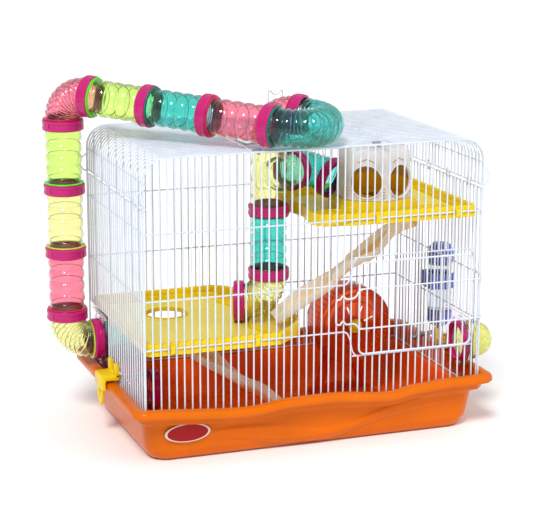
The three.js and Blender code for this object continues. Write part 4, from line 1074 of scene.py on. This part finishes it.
def tube_run():
    """Rings stand where the frame has them, and each tube runs from ring to ring."""
    inward, up = Vector(X), Vector(Z)
    single = ("left_wall", "entry", "floor_outlet", "return", "tee_bottom", "drop", "tee_side", "deck_outlet",
              "side_outlet", "right_wall")
    numbered = [f"{line}_{i}" for line in ("column", "bridge") for i in range(1, 5)]
    at = {name: centre("ring_" + name) for name in (*single, *numbered)}
    column = [at[name] for name in numbered[:4]]
    bridge = [at[name] for name in numbered[4:]]
    run = (bridge[3] - bridge[0]).normalized()
    wall, entry, drop, tee_side = at["left_wall"], at["entry"], at["drop"], at["tee_side"]
    branch = level(tee_side - at["tee_bottom"])
    deck_axis = level(at["deck_outlet"] - drop)
    outlet_corner = tee_side + branch * (at["deck_outlet"] - drop).length / math.sqrt(2)
    outlet_axis = (at["side_outlet"] - outlet_corner).normalized()
    axes = {"left_wall": inward, "floor_outlet": inward, "right_wall": inward, "return": run,
            "tee_side": branch, "deck_outlet": deck_axis, "side_outlet": outlet_axis,
            **{name: run for name in numbered[4:]}}
    for name, place in at.items():
        ring("ring_" + name, place, axes.get(name, up))
    roof = Vector((drop.x, drop.y, span("tee_junction")[1].z))
    elbow("column_bottom_elbow", "yellow", wall, -inward, column[0], up)
    for i, (name, color) in enumerate((("lower", "pink"), ("middle", "yellow"), ("upper", "green"))):
        straight(f"column_{name}_tube", color, column[i], column[i + 1])
    elbow("column_top_elbow", "pink", column[3], up, bridge[0], run)
    for i, color in enumerate(("green", "teal", "pink")):
        straight(f"bridge_tube_{i + 1}", color, bridge[i], bridge[i + 1])
    tube("return_bend", "teal", half_turn(bridge[3], run, at["return"]), TURN_RIBS, BEND_COLLAR)
    elbow("roof_elbow", "pink", at["return"], -run, roof, -up)
    straight("drop_tube", "teal", at["tee_bottom"], drop)
    elbow("drop_elbow", "yellow", drop, -up, at["deck_outlet"], deck_axis)
    elbow("tee_side_elbow", "teal", tee_side, branch, at["side_outlet"], outlet_axis)
    elbow("entry_elbow", "teal", wall, inward, entry, -up)
    elbow("floor_elbow", "yellow", entry, -up, at["floor_outlet"], inward)
    tee(roof, at["tee_bottom"], tee_side, branch)


def half_turn(start, run, end):
    across = end - start
    radius = across.length / 2
    side = across.normalized()
    route = [start + run * END_GAP]
    for i in range(TURN_STEPS + 1):
        a = math.pi * i / TURN_STEPS
        route.append(start + run * (RING_HALF + radius * math.sin(a)) + side * radius * (1 - math.cos(a)))
    return route + [end + run * END_GAP]


def tee(top, bottom, mouth, branch):
    """Upright tube with a side branch; both are hollow."""
    upright = straight_route(top, bottom)
    rows = [(p, s, u, TUBE_OUTER - 1.4 + 1.2 * abs(math.sin(i * math.pi / TEE_WAVE)))
            for i, (p, s, u, _) in enumerate(frames(upright))]
    shape = Shape().loops([circle(p, s, u, r, TEE_SIDES) for p, s, u, r in rows])
    obj = shape.piece("tee_junction", tint["yellow"], "clear_yellow", sharp=60)
    middle = Vector((top.x, top.y, mouth.z))
    length = (mouth - middle).length - END_GAP
    r = TUBE_OUTER - 1.2
    arm = [(r, 0), (r, length * 0.55), (TUBE_OUTER, length * 0.62), (r, length * 0.7), (r, length)]
    combine(obj, [Shape().turned(arm, middle, branch, TEE_SIDES, False)], "UNION")
    inner = TUBE_OUTER - 1.5 - TUBE_WALL
    bore = Shape().turned([(inner, -5), (inner, (top - bottom).length + 5)], bottom, Z, TEE_SIDES, False)
    side_bore = Shape().turned([(inner, 0), (inner, length + 5)], middle, branch, TEE_SIDES, False)
    combine(obj, [bore, side_bore])
    for polygon in obj.data.polygons:
        polygon.use_smooth = True
    obj.data.set_sharp_from_angle(angle=math.radians(40))


# ---- wheel ----
SLOTS, TREADS = 8, 48


def wheel():
    low, high = span("wheel_drum")
    axle = centre("wheel_drum")
    r = (high.x - low.x) / 2
    depth = high.y - low.y
    front = Vector((axle.x, low.y, axle.z))
    drum = Shape()
    drum.turned([(r - 3, 0), (r - 0.8, 1), (r, 3), (r, depth - 1), (r - 0.6, depth), (r - 7, depth),
                 (r - 7, depth - 1.6), (r - 1.8, depth - 1.8), (r - 1.8, 3.6), (r - 3.4, 1.6)], front, Y, 72)
    slots = []
    for i in range(SLOTS):
        angle = math.radians(22.5 + 360 / SLOTS * i)
        slots.append(rotated(rounded(15, -1.25, 29, 1.25, 1.2, 4), angle))
    disc = ellipse(0, 0, r - 2, r - 2, 72)
    hub = ellipse(0, 0, 4.4, 4.4, 24)
    drum.add_mesh(slab([disc, hub, *slots], 1.8, 0.3, placed(front + Vector((0, 1.1, 0)), X, Z)))
    for inner, outer in ((11, 13.4), (33, 35), (43, 45)):
        drum.turned([(inner, 0.1), (outer, 0.1), (outer, 3), (inner, 3)], front, Y, 64)
    for i in range(TREADS):
        angle = 2 * math.pi * i / TREADS
        out = Vector((math.cos(angle), 0, math.sin(angle)))
        across = Vector((-math.sin(angle), 0, math.cos(angle)))
        ends = [front + out * (r - 2.6) + Vector((0, y, 0)) for y in (5, depth - 3)]
        corners = ((-1, -1), (1, -1), (1, 1), (-1, 1))
        drum.loops([[p + out * a + across * b for a, b in corners] for p in ends])
    drum.piece("wheel_drum", wheel_clear, "wheel_plastic", "wheel", sharp=35)
    hub_piece = Shape().turned([(4.4, 0.4), (11, 0.4), (11, 10), (4.4, 10)], front, Y, 32)
    hub_piece.piece("wheel_hub", hub_clear, "wheel_plastic", "wheel", extra=True)
    cap = Shape()
    cap_low, cap_high = span("wheel_hub_cap")
    cr = (cap_high.x - cap_low.x) / 2
    cap.turned([(0.01, 0), (cr - 0.4, 0), (cr, 0.5), (cr, 1.8), (cr - 1, 2.8), (6, 3.2), (5.2, 4.4), (3, 4.9),
                (0.01, 5)],
               (axle.x, cap_high.y, axle.z), (0, -1, 0), 40, False)
    cap.piece("wheel_hub_cap", yellow, "yellow_plastic", "wheel", sharp=30)


def wheel_stand():
    low, high = span("wheel_stand")
    x, axle_z = centre("wheel_stand").x, centre("wheel_drum").z
    y = span("wheel_drum")[1].y + 3
    post = [(x - 40, 8), (x + 40, 8), *arc(x, axle_z, 12, 10, 170, 12)]
    window = [(x - 25, 17), (x - 1.4, 82), (x + 1.4, 82), (x + 25, 17)]
    shape = Shape().add_mesh(slab([post, window], 4.8, 0.8, placed((0, y + 2.5, 0), X, Z)))
    base = rounded(low.x, low.y, high.x, high.y, 12, 6)
    shape.add_mesh(slab([base], 4.6, 1.2, placed((0, 0, 6), X, Y)))
    shape.turned([(0.01, 0), (3, 0), (3, y - low.y - 4), (0.01, y - low.y - 4)], (x, low.y + 6, axle_z), Y,
                 24, False)
    for sx in (-1, 1):
        shape.rod([(x + sx * 34, y + 5.4, 10), (x + sx * 9, y + 5.4, axle_z)], 1.4)
    shape.piece("wheel_stand", wheel_clear, "wheel_plastic", sharp=35)


# ---- bottle and dome ----
def grip_ribs(shape, x, y, radius, low_z, high_z, angles, thickness=0.6):
    """Fine upright ribs round an axis."""
    for angle in angles:
        rib_x, rib_y = x + radius * math.cos(angle), y + radius * math.sin(angle)
        shape.rod([(rib_x, rib_y, low_z), (rib_x, rib_y, high_z)], thickness, sides=6)


def bottle():
    low, high = span("bottle_body")
    x, y = centre("bottle_body").x, centre("bottle_body").y
    r = (high.x - low.x) / 2
    length = high.z - low.z
    outer = [(7, 0.3), (15, 0.6), (17.4, 2.6), (r, 6), (r, 30), (r - 0.9, 33), (r - 0.9, 56), (r, 59),
             (r, length - 24)]
    inner = [(ri - 1.2, hi + (1.2 if hi < 1 else 0)) for ri, hi in reversed(outer)]
    glass = Shape().turned(outer + inner, (x, y, low.z), Z)
    glass.piece("bottle_body", bottle_clear, "clear_plastic")
    fill = [(0.01, 2.4), (15, 2.8), (r - 1.6, 7), (r - 1.6, 30), (r - 2.5, 33), (r - 2.5, 56), (r - 1.6, 59),
            (r - 1.6, 66), (0.01, 66)]
    filling = Shape().turned(fill, (x, y, low.z), Z, 48, False)
    filling.piece("bottle_water", water, "clear_plastic", extra=True)
    top = Shape()
    cap = [(r - 0.6, length - 26), (r, length - 25), (r, length - 10), (r - 1, length - 7),
           (r - 3.4, length - 4.4), (r - 4.4, length - 2), (r - 6, length - 0.4), (0.01, length)]
    top.turned([(0.01, length - 26), *cap], (x, y, low.z), Z, 48, False)
    grip_ribs(top, x, y, r - 0.3, high.z - 25, high.z - 11, [math.pi * i / 13 for i in range(26)])
    top.piece("bottle_top_cap", blue, "blue_plastic", extra=True)
    neck = Shape()
    nlow, nhigh = span("bottle_neck_cap")
    nr = (nhigh.x - nlow.x) / 2
    tall = nhigh.z - nlow.z
    neck.turned([(0.01, 0), (7.4, 0), (9, 0.6), (13.4, 3.4), (16.4, 8), (nr - 0.6, tall - 10), (nr, tall - 8),
                 (nr, tall - 0.6), (nr - 0.6, tall), (0.01, tall)], (x, y, nlow.z), Z, 48, False)
    grip_ribs(neck, x, y, nr - 0.5, nhigh.z - 8, nhigh.z - 1.2, [math.pi * i / 12 for i in range(24)], 0.5)
    neck.piece("bottle_neck_cap", blue, "blue_plastic")
    holder = Shape()
    hlow, hhigh = span("bottle_holder")
    collar = hhigh.z - hlow.z
    outer_r = (hhigh.y - hlow.y) / 2
    opening = 34
    turn = [math.radians(opening + (360 - 2 * opening) * i / 48) for i in range(49)]
    section = [(r + 0.4, 1), (r + 0.4, collar - 1), (outer_r - 0.4, collar), (outer_r, collar - 1),
               (outer_r - 0.7, collar / 2), (outer_r, 1), (outer_r - 0.4, 0)]
    holder.loops([[(x + q * math.cos(a), y + q * math.sin(a), hlow.z + h) for q, h in section] for a in turn])
    grip = rounded(y - 19, hlow.z, y + 19, hhigh.z, 3)
    holder.add_mesh(slab([grip], 2.6, 0.5, placed((hlow.x + 1.4, 0, 0), Y, Z)))
    grip_ribs(holder, x, y, outer_r - 0.2, hlow.z + 1.4, hhigh.z - 1.4, turn[2:-2:2])
    holder.piece("bottle_holder", blue, "blue_plastic")
    slow, shigh = span("bottle_spout")
    start = Vector((x, y, shigh.z - 0.2))
    tip = Vector((slow.x + 1, y, slow.z + 2.6))
    bend = [start, start - Vector((0, 0, 4)), start + Vector((-2.5, 0, -7)), start + Vector((-8, 0, -8.8))]
    path = smooth_path(bend, 6) + [start + (tip - start) * 0.6 + Vector((0, 0, -1.2)), tip]
    spout = Shape().rod(path, 2.9, sides=20)
    spout.turned([(2.9, -3), (3.2, -2), (3.2, 0), (2.4, 0.6), (1.8, 0), (1.8, -3)], tip, tip - path[-2], 24)
    spout.piece("bottle_spout", spout_metal, "spout_steel")


def dome():
    low, high = span("dome_cap")
    at = centre("dome_cap")
    flange = (high.z - low.z) / 2
    r = high.x - low.x - 20
    base = low.x + 14
    sleeve = r - 0.4
    outer = [(sleeve, -14), (sleeve, -0.4), (flange - 0.3, 0), (flange, 0.6), (flange, 2.6),
             (flange - 0.4, 3), (r, 3.6)]
    outer += arc(0, 6, r, 0, 90, 15)
    inner = arc(0, 6, r - 1.5, 90, 0, 15)
    profile = [*outer[:-1], (0.01, 6 + r), (0.01, 4.5 + r), *inner[1:], (sleeve - 1.5, 0),
               (sleeve - 1.5, -14)]
    Shape().turned(profile, (base, at.y, at.z), X, 56).piece("dome_cap", dome_spots, "clear_yellow", "dome")


# ---- assembly ----
stage()
door_hole = (50, 215, 114, 242)
end_panel("front_panel", FRONT_Y, 1, door_hole)
end_panel("back_panel", BACK_Y, -1, None)
side_panel("left_panel", LEFT_X, 1, "left_tube_plate", "left_tray_clip")
side_panel("right_panel", RIGHT_X, -1, "right_tube_plate", "right_tray_clip")
roof_panel()
roof_hatch(centre("ring_drop"))
roof_loop()
front_door()
tube_plate("left_tube_plate", LEFT_X, "ring_left_wall")
tube_plate("right_tube_plate", RIGHT_X, "ring_right_wall")
tray()
plain_label()
tray_clip("left_tray_clip", -1)
tray_clip("right_tray_clip", 1)
lower_platform()
upper_platform()
house()
slide("upper_slide", [(156, -84, 265), (134, -68, 253), (112, -66, 235), (92, -72, 223), (76, -71, 216),
                      (64, -65, 203), (50, -61, 190), (28, -66, 181), (6, -75, 174), (-12, -78, 164),
                      (-30, -76, 149.5)])
slide("lower_slide", [(-150, 12, 120), (-136, -26, 110), (-115, -62, 94), (-82, -68, 70), (-50, -56, 48),
                      (-20, -54, 23), (4, -64, 6)])
tube_run()
wheel()
wheel_stand()
bottle()
dome()
